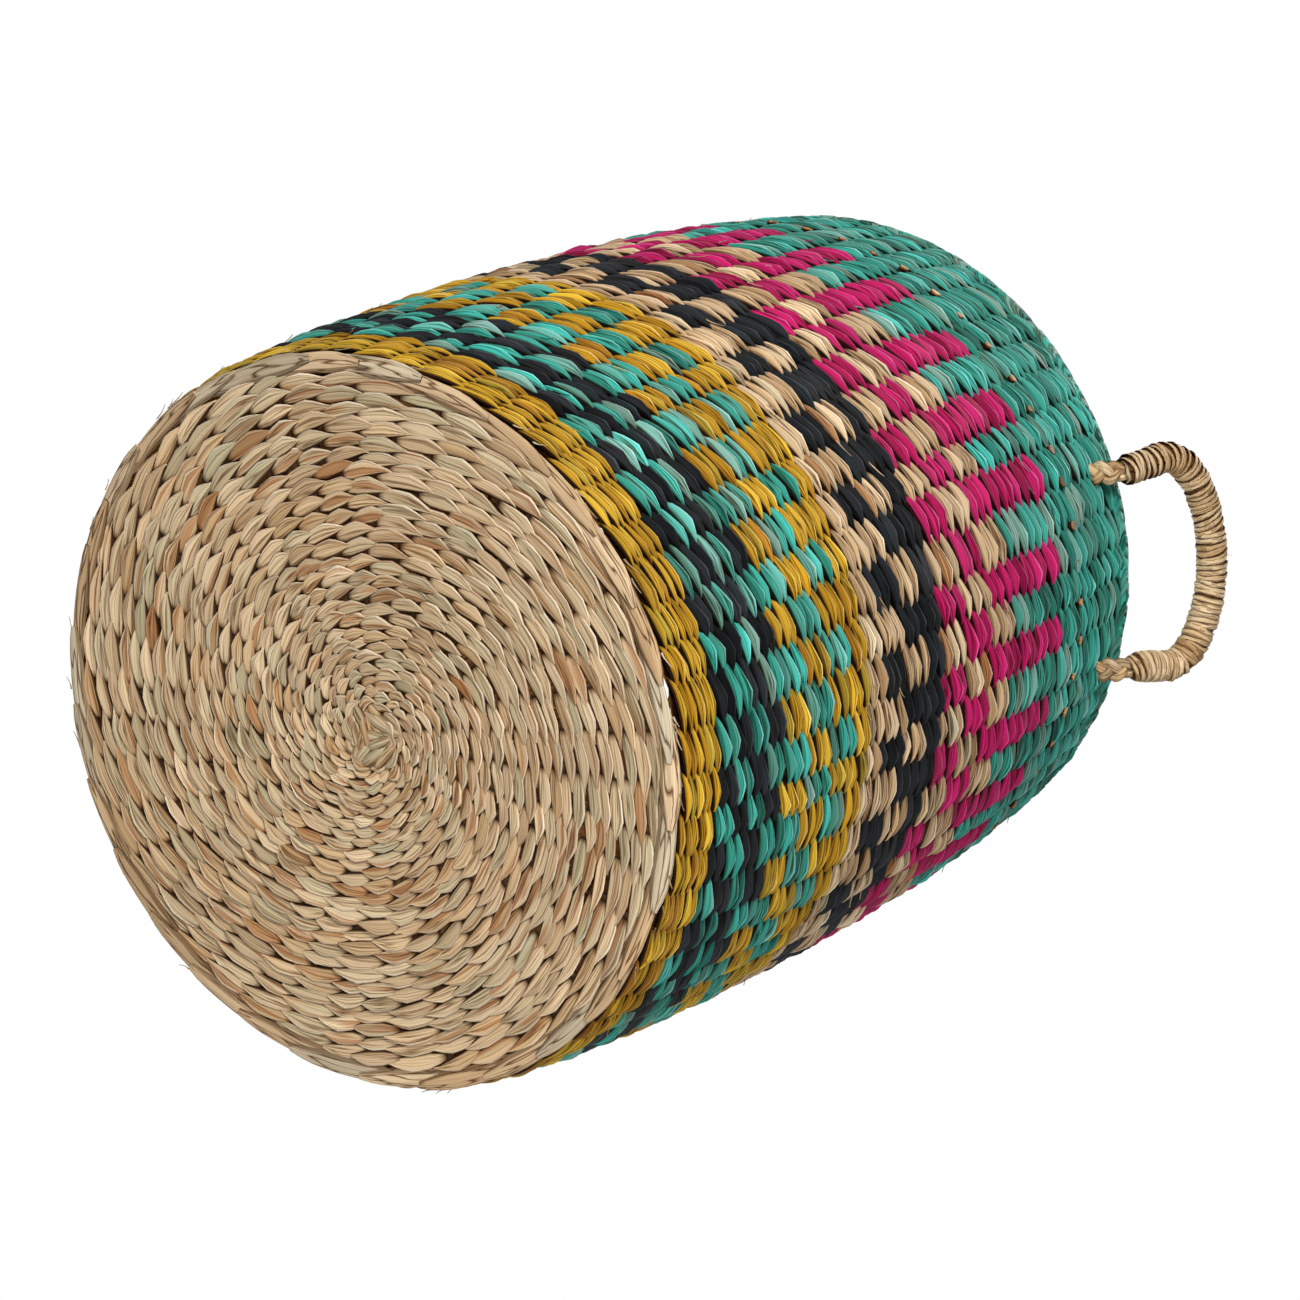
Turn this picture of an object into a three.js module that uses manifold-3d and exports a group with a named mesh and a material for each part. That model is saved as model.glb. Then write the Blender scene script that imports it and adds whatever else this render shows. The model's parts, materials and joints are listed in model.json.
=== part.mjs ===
// Twined seagrass basket: a flat woven base, a wall of coloured weft bands and two wound rope handles.
// Millimetres, +Z up. The origin is the centre of the underside; the handles stand over +X and -X.

import * as THREE from "three";
import { mergeVertices } from "three/addons/utils/BufferGeometryUtils.js";
import Module from "manifold-3d";

// Body of the basket
const FOOT_RADIUS = 170;
const BELLY_RADIUS = 178.5;
const BELLY_HEIGHT = 165;
const MOUTH_RADIUS = 164.5;
const SHOULDER_POWER = 2.6; // the larger it is, the later the wall turns in to the mouth
const WALL = 8; // a stake with one weft strand on each side of it
const COURSE_RELIEF = 0.9; // depth of the groove between two courses
const INNER_RELIEF_COURSES = 3; // courses spanned by one straight facet inside

// Base
const BASE_THICKNESS = 7;
const BORDER_WIDTH = 10;
const BORDER_HEIGHT = 5;
const BORDER_ROUND = 3;

// Height of one course in each part of the wall, and of the border that closes the rim
const FOOT_PITCH = 4;
const LOWER_PITCH = 6.1;
const MIDDLE_PITCH = 6.5;
const UPPER_PITCH = 7.5;
const RIM_PITCH = 7;
const RIM_BORDER_HEIGHT = 6;

// Handles
const HANDLE_DROP = 26; // hinge line below the top of the rim
const HANDLE_SPAN = 103.5; // between the middles of the two legs
const HANDLE_REACH = 62; // hinge line to the middle of the grip
const HANDLE_LEG = 34; // straight part of a leg
const HANDLE_LEAN = 25; // degrees out from upright
const ROPE_RADIUS = 5;
const WRAP_RADIUS = 8;
const WRAP_START = 10; // bare braid between the hinge line and the winding
const EYE_RADIUS = 5.6;
const EYE_WIDTH = 9;
const LASHING_RADIUS = 2.2;
const LASHING_SPAN = 15; // between the two holes of one lashing
const LASHING_BEND = 3;

// Fits
const GAP = 0.3; // between pieces that lie against each other
const RUNNING_GAP = 0.5; // round the lashings, at the hinges and inside the windings

// Facets
const ROUND_SEGMENTS = 28;
const ROPE_SIDES = 8;
const WRAP_SIDES = 10;
const ROPE_STEPS = 24;
const LASHING_SIDES = 6;
const LASHING_STEPS = 24;
const HOLE_SIDES = 12;
const BEND_STEPS = 2; // steps in an eighth of a turn of a rounded section

const NATURAL = 0xcca67a;
const BORDER_GREY = 0xb89d7a;
const MUSTARD = 0xd09a12;
const TEAL = 0x30947c;
const CHARCOAL = 0x22262b;
const PINK = 0xc01a62;
const ROPE_TAN = 0xba966a;

// Weft bands from the base up. A check or stripe band holds two dyes twisted together.
const BANDS = [
  { name: "mustard_foot_band", courses: 6, pitch: FOOT_PITCH, colour: MUSTARD },
  { name: "teal_black_check_band", courses: 8, pitch: LOWER_PITCH, colour: TEAL },
  { name: "mustard_teal_check_band", courses: 9, pitch: LOWER_PITCH, colour: MUSTARD },
  { name: "mustard_line_band", courses: 2, pitch: LOWER_PITCH, colour: MUSTARD },
  { name: "natural_line_band", courses: 2, pitch: MIDDLE_PITCH, colour: NATURAL },
  { name: "black_natural_check_band", courses: 6, pitch: MIDDLE_PITCH, colour: CHARCOAL },
  { name: "black_line_band", courses: 2, pitch: MIDDLE_PITCH, colour: CHARCOAL },
  { name: "pink_natural_check_band", courses: 9, pitch: UPPER_PITCH, colour: PINK },
  { name: "pink_teal_stripe_band", courses: 7, pitch: UPPER_PITCH, colour: PINK },
  { name: "teal_shoulder_band", courses: 3, pitch: UPPER_PITCH, colour: TEAL },
  { name: "teal_rim_band", courses: 8, pitch: RIM_PITCH, colour: TEAL },
];

const WALL_TOP = BANDS.reduce((top, band) => top + band.courses * band.pitch, BORDER_HEIGHT);
const BASKET_HEIGHT = WALL_TOP + RIM_BORDER_HEIGHT;
const HINGE_HEIGHT = BASKET_HEIGHT - HANDLE_DROP;

const wasm = await Module();
wasm.setup();

function finish(colour) {
  return new THREE.MeshStandardMaterial({ color: colour, roughness: 0.75, metalness: 0 });
}

function toSolid(geometry) {
  const bare = geometry.clone();
  bare.deleteAttribute("normal");
  bare.deleteAttribute("uv");
  const merged = mergeVertices(bare);
  return new wasm.Manifold(
    new wasm.Mesh({
      numProp: 3,
      vertProperties: new Float32Array(merged.attributes.position.array),
      triVerts: new Uint32Array(merged.index.array),
    }),
  );
}

function toGeometry(solid) {
  const mesh = solid.getMesh();
  const geometry = new THREE.BufferGeometry();
  geometry.setAttribute("position", new THREE.BufferAttribute(new Float32Array(mesh.vertProperties), 3));
  geometry.setIndex(new THREE.BufferAttribute(new Uint32Array(mesh.triVerts), 1));
  geometry.computeVertexNormals();
  return geometry;
}

// Outside radius of the wall at height z: a parabola from the foot out to the belly,
// then a power curve that turns in to the mouth.
function wallRadius(z) {
  if (z < BELLY_HEIGHT) {
    const below = 1 - z / BELLY_HEIGHT;
    return BELLY_RADIUS - (BELLY_RADIUS - FOOT_RADIUS) * below ** 2;
  }
  const above = (z - BELLY_HEIGHT) / (BASKET_HEIGHT - BELLY_HEIGHT);
  return BELLY_RADIUS - (BELLY_RADIUS - MOUTH_RADIUS) * above ** SHOULDER_POWER;
}

// A ring or disc from (radius, height) points that run anticlockwise and close on themselves or on the axis.
function revolve(points) {
  const closed = points[0].x > 0 ? [...points, points[0].clone()] : points;
  return new THREE.LatheGeometry(closed, ROUND_SEGMENTS).rotateX(Math.PI / 2);
}

function named(name, geometry, colour) {
  const mesh = new THREE.Mesh(geometry, finish(colour));
  mesh.name = name;
  return mesh;
}

function rod(radius, length, sides) {
  return new THREE.CylinderGeometry(radius, radius, length, sides);
}

function baseWeave() {
  const radius = FOOT_RADIUS - BORDER_WIDTH - GAP;
  return revolve([
    new THREE.Vector2(0, 0),
    new THREE.Vector2(radius, 0),
    new THREE.Vector2(radius, BASE_THICKNESS),
    new THREE.Vector2(0, BASE_THICKNESS),
  ]);
}

// Flat strands laid round the edge of the base, with a rounded outer corner.
function baseBorder() {
  const section = new THREE.Path();
  section.moveTo(FOOT_RADIUS - BORDER_WIDTH, 0);
  section.lineTo(FOOT_RADIUS - BORDER_ROUND, 0);
  section.absarc(FOOT_RADIUS - BORDER_ROUND, BORDER_ROUND, BORDER_ROUND, -Math.PI / 2, 0);
  section.lineTo(wallRadius(BORDER_HEIGHT) - COURSE_RELIEF, BORDER_HEIGHT);
  section.lineTo(FOOT_RADIUS - BORDER_WIDTH, BORDER_HEIGHT);
  return revolve(section.getPoints(BEND_STEPS));
}

// One weft band: every course stands out as a rib, with a groove above and below it.
function weftBand(bottom, band) {
  const outside = [];
  const inside = [];
  for (let course = 0; course <= band.courses; course += 1) {
    const groove = bottom + course * band.pitch;
    const crest = groove + band.pitch / 2;
    outside.push(new THREE.Vector2(wallRadius(groove) - COURSE_RELIEF, groove));
    if (course < band.courses) {
      outside.push(new THREE.Vector2(wallRadius(crest), crest));
    }
    if (course % INNER_RELIEF_COURSES === 0 || course === band.courses) {
      inside.unshift(new THREE.Vector2(wallRadius(groove) - WALL, groove));
    }
  }
  return revolve([...outside, ...inside]);
}

// The rolled edge that closes the rim over the last course.
function rimBorder() {
  const outer = wallRadius(WALL_TOP) - COURSE_RELIEF;
  const inner = wallRadius(WALL_TOP) - WALL;
  const middle = (outer + inner) / 2;
  const section = new THREE.Path();
  section.moveTo(outer, WALL_TOP);
  section.absellipse(middle, WALL_TOP, (outer - inner) / 2, RIM_BORDER_HEIGHT, 0, Math.PI);
  return revolve(section.getPoints(2 * BEND_STEPS).slice(1));
}

// Hinge line: far enough out for the eye to turn clear of the wall.
function hingeRadius() {
  const side = HANDLE_SPAN / 2 - EYE_WIDTH / 2;
  return Math.sqrt(wallRadius(HINGE_HEIGHT - EYE_RADIUS) ** 2 - side ** 2) + EYE_RADIUS + RUNNING_GAP;
}

// Distance from the middle of the basket to a lashing that lies against the inside of the wall at y.
function lashingInside(y) {
  const flat = Math.cos(Math.PI / ROUND_SEGMENTS);
  const lowest = (wallRadius(HINGE_HEIGHT + LASHING_RADIUS) - WALL) * flat;
  return Math.sqrt(lowest ** 2 - (y + LASHING_RADIUS) ** 2) - LASHING_RADIUS - RUNNING_GAP;
}

function lashingSides(leg) {
  const middle = (leg * HANDLE_SPAN) / 2;
  return [middle - LASHING_SPAN / 2, middle + LASHING_SPAN / 2];
}

// Holes for the lashings: straight through the wall, on both sides of the basket.
function withLashingHoles(geometry) {
  let solid = toSolid(geometry);
  const length = 2 * (BELLY_RADIUS + WALL);
  for (const y of [...lashingSides(-1), ...lashingSides(1)]) {
    const hole = rod(LASHING_RADIUS + RUNNING_GAP, length, HOLE_SIDES).rotateZ(Math.PI / 2);
    solid = solid.subtract(toSolid(hole.translate(0, y, HINGE_HEIGHT)));
  }
  return toGeometry(solid);
}

// A closed ring of cord: along the hinge line outside, through the wall twice, and back along its inside.
function lashing(leg) {
  const [low, high] = lashingSides(leg);
  const corners = [
    new THREE.Vector3(hingeRadius(), low, HINGE_HEIGHT),
    new THREE.Vector3(hingeRadius(), high, HINGE_HEIGHT),
    new THREE.Vector3(lashingInside(Math.abs(high)), high, HINGE_HEIGHT),
    new THREE.Vector3(lashingInside(Math.abs(low)), low, HINGE_HEIGHT),
  ];
  const route = new THREE.CurvePath();
  corners.forEach((corner, index) => {
    const before = corners[(index + 3) % 4];
    const after = corners[(index + 1) % 4];
    const next = corners[(index + 2) % 4];
    const bendIn = corner.clone().add(before.clone().sub(corner).setLength(LASHING_BEND));
    const bendOut = corner.clone().add(after.clone().sub(corner).setLength(LASHING_BEND));
    const runEnd = after.clone().add(corner.clone().sub(after).setLength(LASHING_BEND));
    route.add(new THREE.QuadraticBezierCurve3(bendIn, corner, bendOut));
    route.add(new THREE.LineCurve3(bendOut, runEnd));
  });
  return new THREE.TubeGeometry(route, LASHING_STEPS, LASHING_RADIUS, LASHING_SIDES, true);
}

// Middle line of a handle in its own plane, hinge line at height 0: two straight legs and a half ellipse.
function handleLine(start) {
  const half = HANDLE_SPAN / 2;
  const outline = new THREE.Path();
  outline.moveTo(-half, start);
  outline.lineTo(-half, HANDLE_LEG);
  outline.absellipse(0, HANDLE_LEG, half, HANDLE_REACH - HANDLE_LEG, Math.PI, 0, true);
  outline.lineTo(half, start);
  const points = outline.getSpacedPoints(ROPE_STEPS).map((p) => new THREE.Vector3(0, p.x, p.y));
  return new THREE.CatmullRomCurve3(points);
}

function ropeSection(radius, sides, hollow) {
  const section = new THREE.Shape().absarc(0, 0, radius, 0, 2 * Math.PI);
  if (hollow > 0) {
    section.holes.push(new THREE.Path().absarc(0, 0, hollow, 0, 2 * Math.PI, true));
  }
  return { section, sides };
}

function sweep({ section, sides }, line) {
  return new THREE.ExtrudeGeometry(section, {
    extrudePath: line,
    steps: ROPE_STEPS,
    curveSegments: sides / 2, // a full circle gets two sides for each
    bevelEnabled: false,
  });
}

// Braided core of a handle, with an eye at the end of each leg for its lashing.
function handleRope() {
  let solid = toSolid(sweep(ropeSection(ROPE_RADIUS, ROPE_SIDES, 0), handleLine(0)));
  for (const leg of [-1, 1]) {
    const y = (leg * HANDLE_SPAN) / 2;
    solid = solid.add(toSolid(rod(EYE_RADIUS, EYE_WIDTH, HOLE_SIDES).translate(0, y, 0)));
    const bore = rod(LASHING_RADIUS + RUNNING_GAP, 2 * EYE_WIDTH, HOLE_SIDES).translate(0, y, 0);
    solid = solid.subtract(toSolid(bore));
  }
  return toGeometry(solid);
}

// Winding of thin cord round the core, as a close sleeve whose flats clear the core.
function handleWrap() {
  const hollow = (ROPE_RADIUS + RUNNING_GAP) / Math.cos(Math.PI / WRAP_SIDES);
  return sweep(ropeSection(WRAP_RADIUS, WRAP_SIDES, hollow), handleLine(WRAP_START));
}

function handle(side) {
  const group = new THREE.Group();
  group.position.set(hingeRadius(), 0, HINGE_HEIGHT);
  group.rotation.y = THREE.MathUtils.degToRad(HANDLE_LEAN);
  group.add(named(`handle_rope_${side}`, handleRope(), ROPE_TAN));
  group.add(named(`handle_wrap_${side}`, handleWrap(), ROPE_TAN));
  return group;
}

function basket() {
  const group = new THREE.Group();
  group.add(named("base_weave", baseWeave(), NATURAL));
  group.add(named("base_border", baseBorder(), BORDER_GREY));
  let bottom = BORDER_HEIGHT;
  for (const band of BANDS) {
    const top = bottom + band.courses * band.pitch;
    let geometry = weftBand(bottom, band);
    if (band.name === "teal_rim_band") {
      geometry = withLashingHoles(geometry);
    }
    group.add(named(band.name, geometry, band.colour));
    bottom = top;
  }
  group.add(named("rim_border", rimBorder(), TEAL));
  for (const [side, turn] of [["right", 0], ["left", Math.PI]]) {
    const half = new THREE.Group();
    half.rotation.z = turn;
    half.add(handle(side));
    half.add(named(`lashing_${side}_front`, lashing(-1), TEAL));
    half.add(named(`lashing_${side}_back`, lashing(1), TEAL));
    group.add(half);
  }
  return group;
}

export default basket();
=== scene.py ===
"""Twined seagrass basket: weft strands, borders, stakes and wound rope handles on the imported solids."""

import json
import math
from typing import NamedTuple

import bpy
import numpy as np
from bpy.props import FloatProperty, FloatVectorProperty, IntProperty, PointerProperty
from mathutils import Matrix, Vector


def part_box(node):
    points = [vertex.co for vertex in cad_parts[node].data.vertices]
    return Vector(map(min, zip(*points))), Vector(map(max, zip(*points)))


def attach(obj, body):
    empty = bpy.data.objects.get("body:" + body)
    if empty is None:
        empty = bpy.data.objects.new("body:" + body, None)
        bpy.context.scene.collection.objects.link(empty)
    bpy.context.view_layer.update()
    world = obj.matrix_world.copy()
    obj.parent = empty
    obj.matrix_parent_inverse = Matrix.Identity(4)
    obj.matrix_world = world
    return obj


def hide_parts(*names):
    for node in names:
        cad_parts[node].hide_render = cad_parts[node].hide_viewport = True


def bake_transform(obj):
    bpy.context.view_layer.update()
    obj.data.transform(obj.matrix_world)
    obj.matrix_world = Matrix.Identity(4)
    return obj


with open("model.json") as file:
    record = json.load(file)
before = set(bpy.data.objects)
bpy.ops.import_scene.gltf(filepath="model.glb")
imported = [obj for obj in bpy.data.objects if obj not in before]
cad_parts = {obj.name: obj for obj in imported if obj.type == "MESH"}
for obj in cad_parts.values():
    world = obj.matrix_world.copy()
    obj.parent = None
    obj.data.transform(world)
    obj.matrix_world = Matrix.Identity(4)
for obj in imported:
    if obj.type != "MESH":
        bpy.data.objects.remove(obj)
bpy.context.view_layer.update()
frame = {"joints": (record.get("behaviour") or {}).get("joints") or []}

bl_info = {
    "name": "Twined Basket",
    "version": (1, 0, 0),
    "blender": (4, 5, 0),
    "location": "3D View > Sidebar > Basket",
    "description": "Weaves a round seagrass basket with check bands and two wound rope handles",
    "category": "Add Mesh",
}

TAU = 2 * math.pi
UP = np.array((0.0, 0.0, 1.0))
OUT_OF_PLANE = np.array((1.0, 0.0, 0.0))  # first direction of a handle's own plane
WHITE = (1, 1, 1, 1)
CREASED, ROUNDED = 8, 60  # degrees: bends past this are sharp, on flat leaf strands and on cords

# First seed of each kind of piece.
SEEDS = {
    "wall": 100, "base": 300, "leaves": 320, "border": 400, "rim": 500, "stakes": 600, "windings": 700,
    "braids": 800, "loose_ends": 900,
}

# Weft bands from the base up. A row gives the dye that lies outside at the even stakes, course by course.
# In a check band the other of its two dyes lies outside at the odd stakes.
BANDS = {
    "mustard_foot_band": ["mustard"] * 6,
    "teal_black_check_band": ["teal", "teal", "charcoal", "charcoal"] * 2,
    "mustard_teal_check_band": ["mustard"] * 3 + ["teal"] * 3 + ["mustard"] * 3,
    "mustard_line_band": ["mustard"] * 2,
    "natural_line_band": ["natural"] * 2,
    "black_natural_check_band": ["charcoal"] * 3 + ["natural"] * 3,
    "black_line_band": ["charcoal"] * 2,
    "pink_natural_check_band": ["natural"] * 3 + ["pink"] * 3 + ["natural"] * 3,
    "pink_teal_stripe_band": ["teal"] * 7,
    "teal_shoulder_band": ["teal"] * 3,
    "teal_rim_band": ["teal"] * 8,
}
CHECK_DYES = {
    "teal_black_check_band": ("teal", "charcoal"),
    "mustard_teal_check_band": ("mustard", "teal"),
    "black_natural_check_band": ("charcoal", "natural"),
    "pink_natural_check_band": ("natural", "pink"),
    "pink_teal_stripe_band": ("teal", "pink"),
}

# Course of one strand over two stakes. Columns: stakes from the middle of the outside stitch, out of the wall
# in swings, rise in leans, and half width in courses on the leading and on the trailing edge.
COURSE = np.array([
    (-0.84, -1.00, -0.30, 0.50, 0.50),
    (-0.74, -0.60, -0.46, 0.28, 0.28),
    (-0.57, 0.25, -0.46, 0.15, 0.22),
    (-0.40, 0.70, -0.33, 0.28, 0.40),
    (-0.19, 0.96, -0.16, 0.38, 0.50),
    (0.00, 1.08, 0.00, 0.48, 0.54),
    (0.18, 1.08, 0.15, 0.58, 0.48),
    (0.34, 1.02, 0.28, 0.43, 0.39),
    (0.50, 0.90, 0.40, 0.28, 0.28),
    (0.62, 0.72, 0.48, 0.15, 0.17),
    (0.72, 0.40, 0.54, 0.05, 0.07),
    (0.79, -0.35, 0.50, 0.16, 0.16),
    (0.88, -0.90, 0.34, 0.40, 0.40),
    (1.02, -1.05, 0.04, 0.54, 0.54),
])

# The same for the base, whose flat stitches rise towards the tip and taper to both ends.
BASE_COURSE = np.array([
    (-0.84, -0.80, -0.40, 0.34, 0.34),
    (-0.72, -0.30, -0.54, 0.26, 0.26),
    (-0.58, 0.20, -0.46, 0.24, 0.30),
    (-0.40, 0.58, -0.33, 0.40, 0.48),
    (-0.20, 0.82, -0.17, 0.56, 0.65),
    (0.00, 0.94, 0.00, 0.62, 0.61),
    (0.20, 1.00, 0.17, 0.67, 0.57),
    (0.38, 1.03, 0.31, 0.53, 0.46),
    (0.54, 1.03, 0.43, 0.36, 0.32),
    (0.68, 1.00, 0.52, 0.19, 0.18),
    (0.80, 0.80, 0.58, 0.08, 0.09),
    (0.87, -0.25, 0.53, 0.16, 0.16),
    (0.96, -0.90, 0.30, 0.38, 0.38),
    (1.06, -1.00, -0.12, 0.46, 0.46),
])
STITCH_START, STITCH_END = -0.66, 0.84  # stakes: before and after these a strand belongs to the next stitch

# Section of a strand: across (1 is the leading edge) and out of the weave, from edge to edge and back, and
# the share of a chance fold that each point takes.
SECTION = np.array([
    (-1.00, 0.00), (-0.70, 0.66), (-0.56, 0.80), (0.05, 0.80),
    (0.62, 0.92), (0.84, 0.97), (1.00, 0.45), (0.55, -1.60),
])
FOLDS = np.array((0, 0.4, 0.6, 1, 1, 0.7, 0, 0))

# How much painted shade a strand takes across its section, for crevices and tucked edges: outside on the
# wall, under the flatter base, and inside.
WALL_SHADE = np.array((1.0, 1.0, 0.62, 0.16, 0.0, 0.0, 0.0, 0.5))
BASE_SHADE = np.array((1.0, 0.93, 0.20, 0.02, 0.0, 0.0, 0.25, 0.6))
INSIDE_SHADE = np.array((0.2, 0.6, 0.8, 0.8, 0.8, 0.8, 0.35, 0.0))

# Hand-made waves. Rows: size, waves in a turn, drift along the wall and start. Sizes are in stakes, for a
# wall of WAVE_STAKES stakes, and in courses.
STAKE_WAVES = ((0.06, 11, 9, 0), (0.05, 17, -12, 1), (0.04, 23, 15, 2.5))
WAVE_STAKES = 56
COURSE_WAVES = ((0.09, 3, 0.21, 1), (0.07, 7, 0.35, 0))

# Inner radius of each zone of the base, in metres, and the stakes in it.
BASE_ZONES = ((0.008, 10), (0.016, 20), (0.040, 26), (0.062, 32), (0.0935, 38), (0.1224, 44))

# Tones at which a dye turns from deep to usual, pale and odd, and the strength of the painted
# highlight on the leading edges.
DYE_SHARES = (0.08, 0.26, 0.70, 0.92)
WALL_SHARES = {"natural": (0.04, 0.20, 0.76, 0.95), "teal": (0.10, 0.30, 0.60, 0.84)}
EDGE_HIGHLIGHTS = {"natural": 1.0, "charcoal": 0.25, "pink": 0.6, "teal": 1.0, "mustard": 1.0}


# Settings

def metres(name, what, size):
    """A setting for a length."""
    return FloatProperty(name=name, description=what, default=size, unit="LENGTH")


def degrees(name, what, turn):
    """A setting for an angle, given in degrees."""
    return FloatProperty(name=name, description=what, default=math.radians(turn), subtype="ANGLE")


def plain(name, what, value):
    """A setting for a number without a unit."""
    return FloatProperty(name=name, description=what, default=value, subtype="NONE")


def whole(name, what, value, least):
    """A setting for a count."""
    return IntProperty(name=name, description=what, default=value, min=least)


def point(name, what, *place):
    """A setting for a point."""
    return FloatVectorProperty(name=name, description=what, default=place, size=len(place), unit="LENGTH")


def dye_colour(name, what, red, green, blue):
    """A setting for a colour, from the 0 to 255 values that a screen shows, by the sRGB curve."""
    shown = np.array((red, green, blue)) / 255
    linear = np.where(shown <= 0.04045, shown / 12.92, ((shown + 0.055) / 1.055) ** 2.4)
    return FloatVectorProperty(
        name=name, description=what, default=linear.tolist(), size=3, min=0, max=1, subtype="COLOR")


class BasketBody(bpy.types.PropertyGroup):
    """Shape of the wall and the base, as the solids have it."""

    foot_radius: metres("Foot radius", "Outside radius at the floor", 0.170)
    belly_radius: metres("Belly radius", "Widest outside radius", 0.1785)
    belly_height: metres("Belly height", "Height of the widest part", 0.165)
    mouth_radius: metres("Mouth radius", "Outside radius at the rim", 0.1645)
    shoulder_power: plain("Shoulder", "Larger values turn the wall in later", 2.6)
    wall: metres("Wall", "Thickness of a stake with a strand on each side", 0.008)


class BasketWeave(bpy.types.PropertyGroup):
    """How the weft lies round the stakes."""

    stakes: whole("Stakes", "Stakes round the wall, an even number", 56, 8)
    first_stake: degrees("First stake", "Turn of the first stake from +X", -1.3)
    lean: plain("Lean", "Rise of a wall stitch from end to end, in courses", 0.72)
    base_lean: plain("Base lean", "Rise of a base stitch from end to end, in rings", 0.58)
    tilt: degrees("Tilt", "Turn of a stitch that lifts its leading edge", 17)
    base_tilt: degrees("Base tilt", "Turn of a base stitch that lifts its outer edge", 6)
    swing: metres("Swing", "Strand's middle to the middle of the wall", 0.0026)
    thickness: metres("Strand thickness", "Half the thickness of a strand", 0.0009)
    fold: plain("Fold", "Depth of a wall strand's folds, in thicknesses", 0.32)
    base_fold: plain("Base fold", "Depth of a base strand's folds, in thicknesses", 0.14)
    base_slip: plain("Base slip", "How far the rings' stitches are out of line, in stakes", 0.06)
    unevenness: plain("Unevenness", "Spread of width, place and tilt between stitches", 1.0)
    ring_pitch: metres("Ring pitch", "Width of one ring of the base", 0.0067)
    fine_pitch: metres("Fine pitch", "Width of a ring near the centre", 0.0054)
    fine_reach: metres("Fine reach", "Radius of the finer rings", 0.054)
    centre: point("Base centre", "Where the rings of the base begin", 0.0065, 0.004)


class BasketHandles(bpy.types.PropertyGroup):
    """Rope handles, as the solids have them but for a rounder bend."""

    span: metres("Span", "Between the middles of the legs", 0.1035)
    reach: metres("Reach", "Hinge line to the middle of the grip", 0.062)
    leg: metres("Leg", "Straight part of a leg", 0.0305)
    lean: degrees("Lean", "Turn out from upright", 25)
    wrap_start: metres("Winding start", "Bare braid at each end", 0.0088)
    wrap_radius: metres("Winding radius", "Outside radius of the winding", 0.008)
    spread: metres("Spread", "How far the legs lean apart from their ends up", 0.0022)
    turns: whole("Turns", "Turns of cord in the winding", 64, 4)
    cord: metres("Cord", "Half the width of the winding's cord", 0.0019)
    lashing_radius: metres("Lashing radius", "Radius of a lashing", 0.0022)


class BasketColours(bpy.types.PropertyGroup):
    """Colours of the dyed and undyed strands: each dye has a usual, a pale, a deep and an odd strand."""

    natural: dye_colour("Natural", "Usual undyed strand", 196, 162, 119)
    natural_pale: dye_colour("Natural, pale", "Bleached undyed strand", 214, 187, 150)
    natural_deep: dye_colour("Natural, deep", "Reddish brown undyed strand", 164, 108, 64)
    natural_odd: dye_colour("Natural, green", "Greenish undyed strand", 182, 169, 135)
    border: dye_colour("Border", "Usual strand of the base border", 202, 170, 131)
    border_pale: dye_colour("Border, pale", "Pale strand of the base border", 214, 186, 150)
    border_deep: dye_colour("Border, deep", "Darker strand of the base border", 186, 150, 110)
    border_odd: dye_colour("Border, grey", "Grey strand of the base border", 198, 182, 154)
    mustard: dye_colour("Mustard", "Usual mustard strand", 187, 138, 30)
    mustard_pale: dye_colour("Mustard, bright", "Bright mustard strand", 210, 168, 50)
    mustard_deep: dye_colour("Mustard, ochre", "Ochre strand", 158, 106, 34)
    mustard_odd: dye_colour("Mustard, green", "Greenish mustard strand", 166, 141, 48)
    teal: dye_colour("Teal", "Usual teal strand", 52, 149, 132)
    teal_pale: dye_colour("Teal, turquoise", "Turquoise strand", 64, 172, 157)
    teal_deep: dye_colour("Teal, deep", "Deep teal strand", 36, 108, 97)
    teal_odd: dye_colour("Teal, sage", "Sage strand that took less dye", 116, 154, 140)
    charcoal: dye_colour("Charcoal", "Usual black strand", 17, 20, 23)
    charcoal_pale: dye_colour("Charcoal, grey", "Greyer black strand", 42, 45, 49)
    charcoal_deep: dye_colour("Charcoal, deep", "Deep black strand", 10, 12, 14)
    charcoal_odd: dye_colour("Charcoal, green", "Greenish black strand", 24, 33, 36)
    pink: dye_colour("Pink", "Usual pink strand", 184, 26, 90)
    pink_pale: dye_colour("Pink, bright", "Bright pink strand", 200, 36, 106)
    pink_deep: dye_colour("Pink, deep", "Deep pink strand", 156, 22, 78)
    pink_odd: dye_colour("Pink, plum", "Plum strand", 172, 42, 94)
    rope: dye_colour("Rope", "Usual handle rope", 202, 168, 124)
    rope_pale: dye_colour("Rope, pale", "Pale handle rope", 226, 198, 158)
    rope_deep: dye_colour("Rope, deep", "Darker handle rope", 166, 126, 84)
    rope_odd: dye_colour("Rope, grey", "Greyer handle rope", 182, 158, 124)
    cut: dye_colour("Stake", "Usual stake and cut end", 178, 128, 80)
    cut_pale: dye_colour("Stake, pale", "Pale stake and cut end", 208, 164, 114)
    cut_deep: dye_colour("Stake, deep", "Dark stake and cut end", 134, 86, 52)
    cut_odd: dye_colour("Stake, red", "Reddish stake and cut end", 190, 120, 82)


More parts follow.
